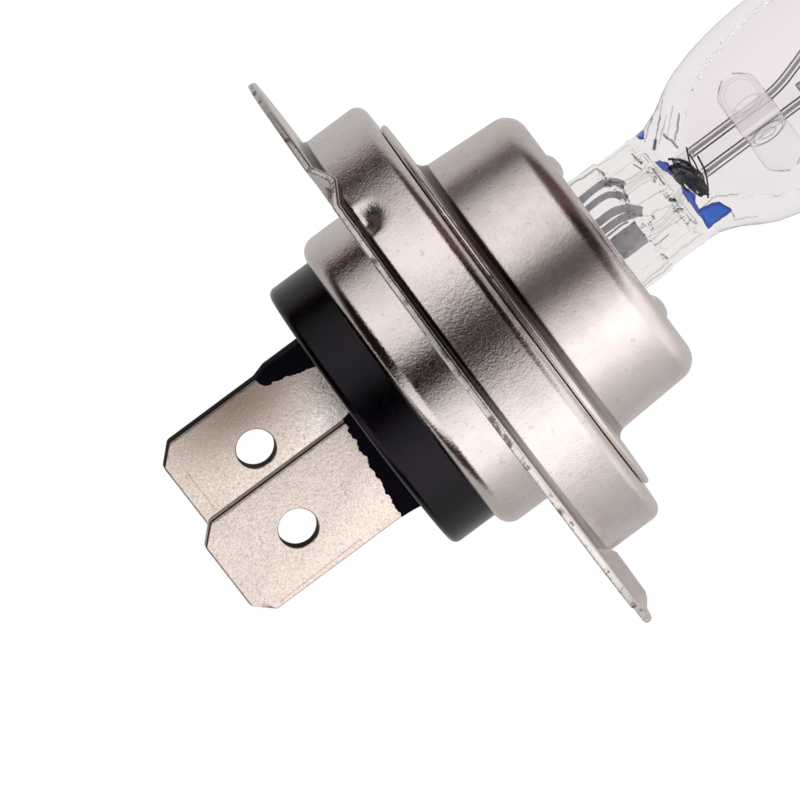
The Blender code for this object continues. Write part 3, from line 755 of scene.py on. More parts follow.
class BULB_OT_rear_barrel(bpy.types.Operator):
    """Barrel behind the flange, with its rolled-in rear shoulder"""

    bl_idname = "bulb.rear_barrel"
    bl_label = "Rear Barrel"

    def execute(self, context):
        cap = settings("bulb_cap")
        rear, top = node_span("rear_barrel")
        outer, wall, shoulder = cap.barrel_radius, cap.barrel_wall, cap.barrel_shoulder
        inner, flange, lip = outer - wall, node_span("rear_barrel", 0)[1], 0.08
        profile = arc((cap.barrel_mouth + lip, rear + lip), lip, 200, 270, 3)
        profile += arc((outer - shoulder, rear + shoulder), shoulder, 272, 360, 16)
        profile += arc((outer + 0.5, top - wall - 0.5), 0.5, 180, 90, 6)
        profile += [(flange, top - wall), (flange, top)]
        profile += arc((inner + 0.9, top - 0.9), 0.9, 90, 180, 8)
        profile += arc((inner - 0.5, rear + wall + 0.5), 0.5, 0, -85, 8)
        profile += [(cap.barrel_mouth, rear + wall - 0.02)]
        material = nickel("Nickel barrel", 0.020)
        finished(turned("barrel_shell", profile, material), material, "nickel_plate", "rear_barrel")
        return {"FINISHED"}


class BULB_OT_front_cup(bpy.types.Operator):
    """Deep cup with its brim, the slot for the burner and a low lip at each end of the slot"""

    bl_idname = "bulb.front_cup"
    bl_label = "Front Cup"

    def execute(self, context):
        cap = settings("bulb_cap")
        low, high = node_span("front_cup")
        brim, top, sheet = node_span("front_cup", 0)[1], high - 0.26, cap.cup_sheet
        foot = (cap.cup_base + cap.cup_fillet, low + sheet + cap.cup_fillet)
        crown = (cap.cup_crown - cap.cup_round, top - cap.cup_round)
        profile = arc((brim - sheet / 2, low + sheet / 2), sheet / 2, -90, 90, 6)
        profile += arc(foot, cap.cup_fillet, 270, 180, 10)
        profile += arc(crown, cap.cup_round, 2, 90, 14)
        profile += [(1.0, top), (1.0, top - sheet)]
        profile += arc(crown, cap.cup_round - sheet, 90, 0, 6)
        profile += arc(foot, cap.cup_fillet + sheet, 180, 268, 6)
        # Painted shade in the corner at the cup's foot
        crease_shade = (cap.cup_base - 0.2, cap.cup_base + 0.5, low + sheet + 0.05, low + sheet + 0.6)
        # The cup's nickel is the ring's and barrel's made 7% brighter, which is painted light; its coarser
        # grain and rougher finish are its own
        satin_and_painted_light = {"painted_light": 1.07, "grain": 0.2, "rough": (0.21, 0.28), "spots": 0.6}
        material = nickel("Nickel cup", 0.012, crease_shade=crease_shade, **satin_and_painted_light)
        cup = turned("cup_shell", profile, material)
        end, side = cap.slot_length / 2, cap.slot_breadth / 2
        outline = rounded(rectangle(-end, end, -side, side), 0.6, 6)
        cut(cup, skinned("slot", [[(x, y, z) for x, y in outline] for z in (top - 1.0, top + 1.0)]))
        for way in (-1, 1):
            cut(cup, self.lip(way, end, top), "UNION")
        finished(cup, material, "nickel_plate", "front_cup")
        return {"FINISHED"}

    def lip(self, way, end, top):
        """A low swelling beside the slot, long across the lugs."""
        start, reach, length, sunk, height, steps = end + 0.05, 5.5, 2.5, 0.15, 0.45, 12
        middle, half = way * (start + reach) / 2, (reach - start) / 2
        rings = []
        for step in range(steps):
            turn = step / (steps - 1) * pi / 2 * 0.94
            plan = [(half * cos(a) * cos(turn), length * sin(a) * cos(turn)) for a in circle_angles(64)]
            rings.append([(middle + x, y, top - sunk + height * sin(turn)) for x, y in plan])
        return skinned("lip", rings, sharp=80)


class BULB_OT_seat_parts(bpy.types.Operator):
    """Retainer and clips inside the front cup, which keep their packed shapes"""

    bl_idname = "bulb.seat_parts"
    bl_label = "Retainer and Clips"

    def execute(self, context):
        tones = settings("bulb_finishes")
        steel = plated_metal("Spring steel", tones.wire, tones.foil, 0.12, 0.003, (0.25, 0.4))
        for node in ("pinch_retainer", "pinch_clip_near", "pinch_clip_far"):
            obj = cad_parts[node]
            obj.data.materials.clear()
            obj.data.materials.append(steel)
        return {"FINISHED"}


# ---------------------------------------------------------------- terminals and moulding


def to_side(point, blades, side):
    """A point given beside one blade's middle plane, in the lamp's frame."""
    x, y, z = point
    place = Vector((x + side * blades.offset + blades.shift, y - side * blades.spacing / 2, z))
    return Matrix.Rotation(blades.turn, 3, "Z") @ place


def blade_material(name, tip, blades, side):
    """Sand-grained warm plate with pits and painted shade on its sheared edges; the far blade has painted
    shade at its upper part and a patch of painted light by the moulding.
    """
    near, tones, surface = side > 0, settings("bulb_finishes"), Surface(name, Metallic=1.0)
    parts = surface.grain(0.085, 0.72)
    tint = tones.terminal
    if not near:
        # Painted shade on the far blade's upper part, and a patch of painted light by the moulding
        deep = surface.patch((-4.8, 2.0, -11.0), (3.9, 9.0, 7.8), 1.0)
        light = surface.patch((-0.6, 2.0, -6.9), (4.2, 9.0, 4.2), 1.0)
        tint = surface.mixed(deep, tint, tones.far_blade_painted_shade)
        tint = surface.mixed(light, tint, (1.0, 0.94, 0.89))
    mottle = surface.stepped(surface.cloud(0.12, 3.0, 0.75), 0.42, 0.60)
    tint = surface.mixed(surface.times(mottle, 0.36 if near else 0.42), tint, tones.terminal_brown)
    tint = surface.mixed(surface.times(parts["Spot Mask"], 0.40), tint, tones.terminal_pit)
    rarity = 0.70 if near else 0.665
    scars = surface.stepped(surface.cloud(0.55, 4.0, 0.8), rarity, rarity + 0.04)
    tint = surface.mixed(surface.times(scars, 0.4 if near else 0.8), tint, (0.10, 0.07, 0.05))
    start, finish = ((5.33, -15.6), (5.2, -10.2)) if near else ((-3.4, -15.6), (-0.8, -15.6))
    coined = surface.line(start, finish, 0.07)
    tint = surface.mixed(surface.times(coined, 0.45), tint, tones.terminal_brown)
    # Painted shade on the sheared edges: near black at the hole's wall and along the upper side, a quarter as
    # strong elsewhere
    dark, torn = edge_shade_and_tear(surface, tip + blades.hole_from_tip, blades, side)
    tint = surface.mixed(dark, tint, (0.018, 0.012, 0.012))
    rough = surface.maths("ADD", surface.by_grain(parts, 0.24, 0.36), surface.times(dark, 0.3))
    surface.feed(Base_Color=tint, Roughness=surface.maths("MAXIMUM", rough, surface.times(torn, 0.72)))
    surface.relief(parts["Height"], 0.028)
    return surface.material


def edge_shade_and_tear(surface, middle, blades, side):
    """Painted shade on a blade's sheared edges, strongest at its hole and its upper side, and where the edges
    are torn rough.
    """
    along, out, _ = Matrix.Rotation(blades.turn, 3, "Z").transposed()
    half = blades.sheet / 2
    depth = surface.vector("DOT_PRODUCT", surface.place, out)
    depth = surface.maths("ABSOLUTE", surface.maths("ADD", depth, side * blades.spacing / 2 * MM))
    wall = surface.stepped(depth, (half - 0.02) * MM, (half - 0.06) * MM)
    core = surface.stepped(depth, (half - 0.17) * MM, (half - 0.22) * MM)
    across = surface.vector("DOT_PRODUCT", surface.place, along)
    across = surface.maths("SUBTRACT", across, (side * blades.offset + blades.shift) * MM)
    upper = surface.stepped(across, -1.0 * MM, -2.2 * MM, 0.25, 1.0)
    if side > 0:
        upper = surface.times(upper, surface.maths("SUBTRACT", 1.0, core))
    hole = surface.patch(to_side((0.0, 0.0, middle), blades, side), [blades.hole] * 3, 0.1)
    return surface.times(surface.times(wall, surface.maths("MAXIMUM", upper, hole)), 0.96), core


class BULB_OT_terminals(bpy.types.Operator):
    """The two blades, with coined edges, cut corners and a latch hole"""

    bl_idname = "bulb.terminals"
    bl_label = "Terminals"

    def execute(self, context):
        blades = settings("bulb_terminals")
        for name, side in (("near", 1), ("far", -1)):
            node = f"terminal_{name}"
            tip, tail_top = node_span(node)
            blade = self.blade(f"blade_{name}", tip, tail_top, blades, side)
            blade.visible_glossy = side < 0
            finished(blade, blade_material(f"Blade plate {name}", tip, blades, side), "terminal_nickel", node)
        return {"FINISHED"}

    def blade(self, name, tip, tail_top, blades, side):
        half, thick, corner = blades.width / 2, blades.sheet / 2, blades.chamfer
        right = [(half - corner, tip), (half, tip + corner), (half, -3.2), (1.2, -1.4), (1.2, tail_top)]
        outline = rounded(right + [(-x, z) for x, z in reversed(right)], 0.14, 4)
        edge = 0.16
        levels = [(edge * (1 - cos(pi * i / 8)), thick - edge * (1 - sin(pi * i / 8))) for i in range(5)]
        rings = []
        for inset, depth in [(i, -d) for i, d in reversed(levels)] + levels:
            bevel = 0.45 if abs(depth) > thick - 0.001 else 0.0
            ring = []
            for x, z in outline:
                x = x * (1 - inset / half)
                z = max(z, tip + inset + bevel * eased(1 - (z - tip) / 0.5)) if z < -10 else z
                ring.append(to_side((x, depth, z), blades, side))
            rings.append(ring)
        blade = skinned(name, rings, sharp=50)
        middle, radius = tip + blades.hole_from_tip, blades.hole / 2
        rings = []
        for depth, wider in ((-1.0, 0.6), (-thick - 0.001, 0.06), (0.06 - thick, 0.0), (thick - 0.06, 0.0),
                             (thick + 0.001, 0.06), (1.0, 0.6)):
            circle = arc((blades.shift, middle), radius + wider, 0, 360, 96)[:-1]
            rings.append([to_side((x, depth, z), blades, side) for x, z in circle])
        return cut(blade, skinned("hole", rings))


class BULB_OT_moulding(bpy.types.Operator):
    """Black moulding with its pads, its key rib and the uneven edge where it meets the blades"""

    bl_idname = "bulb.moulding"
    bl_label = "Moulding"

    def execute(self, context):
        self.blades, self.sizes = settings("bulb_terminals"), settings("bulb_moulding")
        (self.key_rear, self.top), self.rear = node_span("insulator_base"), -6.25
        radius, edge, collar = self.sizes.disc_radius, self.sizes.disc_round, 8.95
        profile = [(0.05, self.rear), (4.0, self.rear)]
        profile += arc((radius - edge, self.rear + edge), edge, 270, 360, 8)
        profile += [(radius, -3.2), (8.5, -3.0), (collar, -2.6), (collar, self.top - 0.3)]
        profile += [(collar - 0.3, self.top), (0.05, self.top)]
        glossy, matt = self.black("Black moulding", 0.27, 0.16), self.black("Black flash", 0.08, 0.55)
        finished(turned("moulding_body", profile, glossy), glossy, "black_moulding", "insulator_base")
        near = self.sleeve("moulding_near", 1, self.near_edge)
        far = self.sleeve("moulding_far", -1, self.far_edge)
        for piece in (near, far, self.key()):
            finished(piece, matt, "black_moulding", "insulator_base")
        return {"FINISHED"}

    def black(self, name, shine, rough):
        surface = Surface(name, Specular_IOR_Level=shine, Specular_Tint=(0.94, 0.84, 1.0, 1.0))
        deep, parts = settings("bulb_finishes").moulding, surface.grain(0.3, 0.4)
        tint = surface.mixed(surface.times(parts["Cloud"], 0.8), deep, tuple(value * 2.2 for value in deep))
        surface.feed(Base_Color=tint, Roughness=surface.by_grain(parts, rough, rough + 0.11))
        surface.relief(parts["Height"], 0.012)
        return surface.material

    def ragged(self, x, seed):
        """Uneven outline of thin moulding squeezed over the metal."""
        depth = self.sizes.ragged
        teeth = unevenness(x, 0.0, 0.0, 0.55, seed) + 0.6 * unevenness(x, 0.0, 0.0, 0.23, seed + 7)
        return depth * (teeth + 0.5 * abs(unevenness(x, 0.0, 0.0, 0.12, seed + 3)))

    def near_edge(self, x, front):
        """Rear end of the sleeve round the near blade; x runs across the blade from its middle."""
        slope = -7.0 - 0.62 * (x + 3.15) / 6.3
        return slope + self.ragged(x, 2.0 if front else 9.0)

    def far_edge(self, x, front):
        return (-6.42 if front else -7.3) + 0.6 * self.ragged(x, 5.0 if front else 12.0)

    def sleeve(self, name, side, edge):
        """Moulding squeezed up round one blade: thick at the disc, thin at its uneven end."""
        blades = self.blades
        half, thick, proud = blades.width / 2, blades.sheet / 2, self.sizes.pad_proud
        thin, sunk = 0.03, self.rear + 0.4
        outline = divided([(*p, 0.0) for p in rounded(rectangle(-half, half, -thick, thick), 0.1, 2)], 0.06)
        outer = []
        for part in [i / 8 for i in range(9)]:
            ring = []
            for point in outline:
                out = Vector((point.x / half * 0.45, point.y / thick, 0.0)).normalized()
                end = edge(point.x, point.y < 0)
                swell = thin + (proud - thin) * part**2
                wide = thin + 0.2 * part
                z = end + (sunk - end) * part
                ring.append(to_side((point.x + wide * out.x, point.y + swell * out.y, z), blades, side))
            outer.append(ring)
        first = [to_side((p.x, p.y, edge(p.x, p.y < 0) + 0.01), blades, side) for p in outline]
        last = [to_side((p.x, p.y, sunk), blades, side) for p in outline]
        return skinned(name, [first, *outer, last], ends="join", sharp=60)

    def key(self):
        """Rib that grips one edge of the far blade, cut off at a slant."""
        blades = self.blades
        half, thick = blades.width / 2, blades.sheet / 2
        rear, rings = self.key_rear, []
        for depth, inset in ((-thick - 0.5, 0.1), (-thick - 0.4, 0.0), (-0.1, 0.0), (0.1, 0.0), (0.2, 0.1)):
            line = [(-half - 0.3 + inset, self.rear + 0.3), (-half - 0.3 + inset, rear + 0.8)]
            line += [(-half - 0.05, rear + inset), (-half + 0.3, rear + 0.05 + inset)]
            for i in range(24):
                part = i / 23
                z = rear + 0.15 + (self.rear - 0.25 - rear) * part
                x = -half + 0.42 + 0.95 * part + 0.8 * self.ragged(part * 3.2, 21.0)
                line.append((x, z))
            line.append((-half + 1.2, self.rear + 0.3))
            rings.append([to_side((x, depth, z), blades, -1) for x, z in line])
        return skinned("moulding_key", rings, sharp=40)


# ---------------------------------------------------------------- the burner


BULB_LINE = (  # (radius, z) of the outside, from the neck to the sealed-off tip
    (3.46, 15.3), (3.88, 16.4), (4.5, 17.46), (4.97, 18.54), (5.5, 20.7), (5.77, 23.2), (5.82, 26.0),
    (5.82, 33.4), (5.5, 35.6), (4.4, 37.3), (2.8, 38.45), (1.5, 39.3), (1.15, 40.1), (0.2, 41.0),
)
CAVITY_LINE = (
    (0.3, 15.35), (0.9, 15.5), (1.5, 16.1), (2.1, 16.9), (3.1, 18.2), (4.1, 20.0), (4.75, 23.0), (4.87, 26.0),
    (4.87, 33.2), (4.5, 35.2), (3.3, 36.7), (1.8, 37.4), (0.4, 37.7),
)
FILM_PATCHES = (  # corners of each blue patch at the neck, in (x, z), each patch convex
    ((-3.7, 14.72), (-3.7, 15.45), (-3.35, 15.32), (-2.95, 14.98), (-3.1, 14.76)),
    ((-1.72, 14.72), (-1.58, 15.02), (-1.16, 15.34), (-0.58, 15.22), (-0.46, 15.0), (-1.10, 14.80)),
    ((0.18, 15.06), (0.55, 15.36), (1.02, 15.46), (1.50, 15.16), (1.50, 14.92), (0.90, 14.88)),
    ((1.30, 14.90), (1.30, 15.20), (2.00, 15.16), (2.00, 14.90)),
    ((1.78, 14.90), (1.82, 15.30), (1.88, 15.86), (2.16, 16.22), (2.58, 16.46), (2.96, 16.54), (2.96, 14.90)),
)
FOLDS_AND_PAINTED_REFRACTION = (  # folds at the neck and lines of the seal, each a relief with a dark line painted for what the glass shows there by refraction: start and end in (x, z), half-width and darkness
    ((-2.85, 14.95), (-3.85, 16.25), 0.06, 0.55), ((-2.25, 15.15), (-2.55, 15.45), 0.17, 0.92),
    ((-2.5, 15.4), (-3.5, 16.45), 0.06, 0.6), ((-2.9, 15.9), (-4.1, 17.1), 0.05, 0.4),
    ((-1.95, 16.3), (-2.95, 17.3), 0.09, 0.6), ((-2.55, 16.0), (-1.6, 16.2), 0.11, 0.7),
    ((-2.3, 15.5), (-3.3, 16.7), 0.05, 0.35), ((-2.3, 16.0), (-3.5, 17.3), 0.05, 0.35),
    ((1.85, 15.3), (1.75, 16.0), 0.05, 0.4), ((1.75, 16.0), (2.35, 17.3), 0.05, 0.45),
    ((2.98, 16.45), (3.3, 16.4), 0.05, 0.7), ((3.35, 16.3), (3.95, 17.4), 0.05, 0.3),
    ((-3.56, 10.2), (-3.44, 14.6), 0.04, 0.3), ((-3.3, 12.2), (-3.22, 14.2), 0.06, 0.22),
    ((-3.35, 10.3), (-3.25, 11.9), 0.09, 0.5), ((-2.42, 12.3), (-2.36, 14.1), 0.05, 0.2),
    ((-1.86, 12.7), (-1.66, 14.2), 0.06, 0.32), ((-1.6, 12.7), (-1.42, 14.1), 0.04, 0.25),
    ((-1.42, 14.1), (-1.1, 14.5), 0.05, 0.5), ((-0.3, 12.7), (-0.18, 14.1), 0.05, 0.35),
    ((0.4, 12.7), (0.75, 14.0), 0.04, 0.25), ((1.55, 12.2), (1.6, 14.0), 0.05, 0.3),
    ((1.95, 12.1), (1.9, 13.0), 0.06, 0.55), ((3.2, 10.3), (3.1, 12.2), 0.05, 0.3),
    ((3.0, 12.3), (2.98, 14.5), 0.05, 0.3), ((3.36, 10.3), (3.32, 12.2), 0.05, 0.35),
    ((-2.3, 12.05), (-1.9, 12.6), 0.08, 0.55), ((-1.75, 12.6), (-0.75, 12.35), 0.07, 0.6),
    ((2.5, 12.1), (2.95, 12.2), 0.08, 0.6), ((-3.2, 12.0), (-2.7, 12.15), 0.08, 0.6),
    ((-2.7, 14.0), (-2.0, 14.15), 0.10, 0.6), ((-2.2, 13.8), (-1.75, 13.95), 0.07, 0.7),
    ((-1.45, 14.42), (-0.4, 14.45), 0.07, 0.65), ((0.45, 14.2), (0.65, 14.4), 0.16, 0.85),
    ((1.0, 14.1), (1.3, 14.5), 0.06, 0.6),
)
MARKS = (  # groups of small voids in the seal: middle (x, z), half-extent (x, z), how many
    ((0.0, 12.1), (3.0, 0.16), 34), ((0.0, 14.25), (3.0, 0.2), 44), ((0.9, 12.8), (0.55, 0.6), 12),
    ((-2.5, 12.0), (0.5, 0.3), 8), ((1.2, 14.1), (0.8, 0.35), 10),
)


def film_depth(surface, place, corners):
    """How far inside a convex patch a point is, looking from the front, in metres."""
    middle = sum((Vector(corner) for corner in corners), Vector((0.0, 0.0))) / len(corners)
    inside = None
    for a, b in zip(corners, (*corners[1:], corners[0])):
        side = Vector((b[1] - a[1], a[0] - b[0])).normalized()
        side = side if side.dot(middle - Vector(a)) > 0 else -side
        reach = surface.vector("DOT_PRODUCT", place, (side.x, 0.0, side.y))
        reach = surface.maths("SUBTRACT", reach, side.dot(Vector(a)) * MM)
        inside = reach if inside is None else surface.maths("MINIMUM", inside, reach)
    return inside


def quartz_material():
    """Clear quartz with a blue film in patches at the neck, and folds where it was pressed: a relief, with
    painted dark lines for what refraction shows there.
    """
    tones = settings("bulb_finishes")
    coat = {"Coat_Weight": 0.6, "Coat_IOR": 1.46, "Coat_Roughness": 0.02}
    surface = Surface("Quartz", Transmission_Weight=1.0, Roughness=0.0, IOR=1.06, **coat)
    place, where = surface.place, surface.split(surface.place)
    bend = surface.vector("SUBTRACT", surface.noise(place, 1400.0, result="Color"), (0.5, 0.5, 0.5))
    spot = surface.vector("ADD", place, surface.scaled(bend, 0.28 * MM))
    front = surface.stepped(where["Y"], 0.1 * MM, -0.1 * MM)
    pressed = film = 0.0
    for (x, z), (wide, tall), _ in MARKS:
        patch = surface.patch((x, -1.5, z), (wide * 1.2, 5.0, tall * 1.6), 0.5)
        pressed = surface.maths("MAXIMUM", patch, pressed)
    for corners in FILM_PATCHES:
        film = surface.maths("MAXIMUM", film_depth(surface, spot, corners), film)
    film = surface.times(film, front)
    blue = surface.mixed(surface.stepped(film, 0.04 * MM, 0.28 * MM), tones.blue_edge, tones.blue)
    plus_x = surface.stepped(where["X"], -2.0 * MM, 2.5 * MM)
    seal = surface.stepped(where["Z"], 14.4 * MM, 14.9 * MM, 1.0, 0.0)
    clear = surface.mixed(plus_x, tones.quartz, (0.975, 0.972, 0.968))
    clear = surface.mixed(seal, clear, (0.962, 0.965, 0.945))
    specks = surface.stepped(surface.cloud(0.24, 2.0, 0.6, spot), 0.55, 0.64)
    clear = surface.mixed(surface.times(surface.times(specks, front), pressed), clear, (0.12, 0.12, 0.13))
    tint = surface.mixed(surface.stepped(film, 0.0, 0.03 * MM), clear, blue)
    height = surface.times(surface.noise(place, 420.0), 0.4)
    for start, finish, width, strength in FOLDS_AND_PAINTED_REFRACTION:
        mask = surface.times(surface.line(start, finish, width, spot), front)
        # Painted dark refraction along the fold; its relief is added below
        tint = surface.mixed(surface.times(mask, darkness(strength)), tint, (0.004, 0.004, 0.005))
        height = surface.maths("ADD", height, mask)
    surface.feed(Base_Color=tint)
    surface.relief(height, 0.05)
    return surface.material


def darkness(strength):
    """Share of a dark colour that makes a line look this dark through both of its faces."""
    return 1 - (1 - strength) ** 2


def inner_wall_material():
    """The wall of the gas space: clear, with a faint cloudiness."""
    surface = Surface("Inside of the quartz", Transmission_Weight=1.0, Roughness=0.0, IOR=1.015)
    quartz = settings("bulb_finishes").quartz
    surface.feed(Base_Color=surface.mixed(surface.noise(surface.place, 300.0), quartz, (1.0, 0.995, 0.995)))
    return surface.material


def along_outline(outline, count):
    """Evenly spread points along an open outline, with its end left out."""
    lengths = [0.0]
    for a, b in zip(outline, outline[1:]):
        lengths.append(lengths[-1] + hypot(b[0] - a[0], b[1] - a[1]))
    found, i = [], 0
    for j in range(count):
        target = lengths[-1] * j / count
        while lengths[i + 1] <= target:
            i += 1
        part = (target - lengths[i]) / (lengths[i + 1] - lengths[i])
        found.append(tuple(Vector(outline[i]).lerp(Vector(outline[i + 1]), part)))
    return found


def add_void(mesh, centre, reach, around):
    """Adds a small void to a clear piece, its faces turned inwards."""
    work = bmesh.new()
    bmesh.ops.create_uvsphere(work, u_segments=around, v_segments=around // 2, radius=1.0)
    for vertex in work.verts:
        vertex.co = (centre + vertex.co * reach) * MM
    bmesh.ops.reverse_faces(work, faces=work.faces)
    for face in work.faces:
        face.smooth = True
    work.from_mesh(mesh)
    work.to_mesh(mesh)
    work.free()


class BULB_OT_burner(bpy.types.Operator):
    """Quartz burner: the flat seal with its ribs and steps, the neck, the bulb and its tip"""

    bl_idname = "bulb.burner"
    bl_label = "Burner"

    STEPS = 160
    STEP_HEIGHTS = (12.15, 14.25)

    def section(self, z, width=1.0, web=1.0):
        """Outline of the flat seal at a height, starting at +X."""
        glass = self.glass
        half, rib, thin = glass.pinch_width / 2 * width, glass.pinch_rib / 2, glass.pinch_web / 2 * web
        inner, edge = half - 0.85, 0.28
        right = arc((half - edge, rib - edge), edge, 0, 90, 6)
        right += arc((inner + 0.2, rib - 0.2), 0.2, 90, 180, 4)
        right += arc((inner - 0.3, thin + 0.3), 0.3, 0, -90, 5)
        outline = [(half, 0.0), *right] + [(-x, y) for x, y in reversed([(half, 0.0), *right])]
        upper = along_outline(outline, self.STEPS // 2)
        found = []
        for way in (1, -1):
            for x, y in upper:
                x, y = way * x, way * y
                pressed = sum(max(0.0, 1.0 - abs(z - step) / 0.35) for step in self.STEP_HEIGHTS)
                wave = unevenness(x, y, z, 0.45, 3.0) * (0.015 + 0.07 * pressed)
                found.append((x, y + way * wave, z))
        return found

    def circle(self, radius, z):
        return [(x, y, z) for x, y in arc((0.0, 0.0), radius, 0, 360, self.STEPS)[:-1]]

    def execute(self, context):
        self.glass = settings("bulb_glass")
        bottom = node_span("glass_envelope")[0]
        rings = [self.section(z, *shape) for z, shape in self.seal_shape(bottom)]
        start, end = rings[-1], self.circle(*BULB_LINE[0])
        gap = end[0][2] - start[0][2]
        for i in range(1, 12):
            part = i / 12
            ring = [Vector(a).lerp(Vector(b), eased(part) * 0.6 + part * 0.4) for a, b in zip(start, end)]
            rings.append([(point.x, point.y, start[0][2] + gap * part) for point in ring])
        rings += [self.circle(*point) for point in smooth_path(BULB_LINE, 6)]
        bulb = skinned("quartz_burner", rings, sharp=60)
        self.hollow(bulb)
        self.marks(bulb.data)
        finished(bulb, quartz_material(), "quartz", "glass_envelope")
        bulb.data.materials.append(inner_wall_material())
        return {"FINISHED"}

    def seal_shape(self, bottom):
        """Heights of the flat seal with its width and web there: two steps pressed across it."""
        found = [(bottom, (1.0, 1.0)), (8.0, (1.0, 1.0)), (9.5, (1.0, 1.0))]
        for i in range(64):
            z = 10.0 + 4.45 * i / 63
            first, second = (max(0.0, 1.0 - abs(z - step) / 0.2) for step in self.STEP_HEIGHTS)
            past = eased((z - 12.0) / 0.25)
            width, web = 1.0 - 0.04 * past + 0.02 * second, 1.0 - 0.08 * past + 0.22 * (first + second)
            found.append((z, (width, web)))
        return found

    def marks(self, mesh):
        """Small uneven voids where the seal was pressed."""
        random = Random(5)
        for (x, z), (wide, tall), count in MARKS:
            for _ in range(count):
                aside, depth = random.uniform(-wide, wide), random.uniform(-0.75, -0.35)
                centre = Vector((x + aside, depth, z + random.uniform(-tall, tall)))
                long = random.uniform(0.05, 0.16)
                reach = Vector((long, 0.05, random.uniform(0.03, 0.07)))
                if random.random() < 0.45:
                    reach = Vector((reach.z, 0.05, long))
                add_void(mesh, centre, reach, 12)

    def hollow(self, bulb):
        """Adds the cavity as an inner wall, its faces turned towards the gas."""
        work = bmesh.new()
        work.from_mesh(bulb.data)
        outside, loops = len(work.verts), []
        for radius, z in smooth_path(CAVITY_LINE, 6):
            loops.append([work.verts.new(Vector(point) * MM) for point in self.circle(radius, z)])
        work.faces.new(loops[0])
        work.faces.new(reversed(loops[-1]))
        for low, high in zip(loops, loops[1:]):
            for i, vertex in enumerate(low):
                work.faces.new((low[i - 1], high[i - 1], high[i], vertex))
        work.verts.index_update()
        for face in work.faces:
            face.smooth = True
            face.material_index = int(max(vertex.index for vertex in face.verts) >= outside)
        work.to_mesh(bulb.data)
        work.free()


LEADS = {  # knots of each lead's centre line, in (x, y, z)
    "inner_lead_long": (
        (-1.35, 0, 12.3), (-1.35, 0, 13.6), (-0.95, 0, 15.6), (-0.9, 0, 17.0), (-0.9, 0, 19.2),
        (-0.9, 0, 22.0), (-1.35, 0, 24.0), (-2.3, 0, 27.0), (-2.6, 0, 29.5), (-2.2, 0, 31.3),
        (-1.4, 0, 31.9), (-0.62, 0, 31.95),
    ),
    "inner_lead_short": (
        (1.2, 0, 12.3), (1.2, 0, 13.6), (0.47, 0, 15.6), (0.42, 0, 17.0), (0.42, 0, 19.2), (0.42, 0, 22.0),
        (0.42, 0, 24.4),
    ),
    "outer_lead_long": (
        (-1.35, 0, 8.8), (-1.35, 0, 6.4), (-2.16, 1.04, 3.6), (-2.16, 1.04, 2.4), (-2.16, 1.04, 1.3),
    ),
    "outer_lead_short": (
        (1.2, 0, 8.8), (1.2, 0, 6.4), (2.16, -1.04, 3.6), (2.16, -1.04, 2.4), (2.16, -1.04, 1.3),
    ),
}


def inner_lead_material():
    """Bright drawn wire with a painted dark reflection on its flanks, that shows only faintly where the seal
    and the bridge grip it.
    """
    tones, radius = settings("bulb_finishes"), settings("bulb_glass").lead_radius * MM
    surface = Surface("Inner lead", Metallic=1.0)
    parts, where = surface.grain(0.1, 0.5), surface.split(surface.place)
    depth, height = surface.maths("ABSOLUTE", where["Y"]), where["Z"]
    tint = surface.mixed(surface.times(parts["Cloud"], 0.5), (0.95, 0.92, 0.93), tones.foil_seen)
    # Greyer along the lines facing front and back; then a painted dark reflection on the flanks facing +X and
    # -X
    tint = surface.mixed(surface.stepped(depth, 0.90 * radius, 0.96 * radius), tint, tones.foil)
    tint = surface.mixed(surface.stepped(depth, 0.80 * radius, 0.60 * radius), tint, (0.10, 0.09, 0.095))
    free = surface.stepped(height, 16.4 * MM, 16.9 * MM, 0.1, 1.0)
    into = surface.stepped(height, 19.35 * MM, 19.5 * MM, 1.0, 0.16)
    out_of = surface.stepped(height, 21.75 * MM, 21.9 * MM, 0.16, 1.0)
    shown = surface.times(free, surface.maths("MAXIMUM", into, out_of))
    surface.feed(Base_Color=tint, Roughness=surface.by_grain(parts, 0.10, 0.2), Alpha=shown)
    return surface.material


class BULB_OT_leads(bpy.types.Operator):
    """The four lead wires"""

    bl_idname = "bulb.leads"
    bl_label = "Leads"

    def execute(self, context):
        tones, glass = settings("bulb_finishes"), settings("bulb_glass")
        steel = plated_metal("Lead wire", tones.wire, tones.foil, 0.1, 0.003, (0.22, 0.38))
        inner = inner_lead_material()
        for node, knots in LEADS.items():
            finish = inner if node.startswith("inner") else steel
            lead = wire(node.replace("lead", "wire"), smooth_path(knots, 10), glass.lead_radius, finish)
            finished(lead, finish, "lead_wire", node)
        return {"FINISHED"}


NECK_SHADE_LINES = (  # edges of the painted shade at the rear of the gas space, as dark streaks: radius, then (x, y, z) knots
    (0.05, (
        (-1.25, -1.0, 16.66), (-0.45, -1.1, 16.28), (0.2, -1.1, 16.2), (0.8, -1.1, 16.0), (1.25, -1.0, 15.8),
    )),
    (0.055, ((-0.55, -1.1, 16.86), (0.3, -1.2, 16.7), (1.0, -1.2, 16.36), (1.55, -1.1, 15.95))),
    (0.09, (
        (-0.95, -0.9, 15.35), (-0.5, -1.0, 15.85), (0.1, -1.0, 16.1), (0.9, -1.0, 16.05), (1.2, -1.0, 15.85),
    )),
    (0.06, ((-1.3, -0.9, 15.5), (-0.9, -1.0, 15.95), (-0.5, -1.0, 16.2))),
    (0.045, ((-0.9, -1.0, 16.55), (-0.3, -1.1, 16.5), (0.3, -1.1, 16.35))),
)


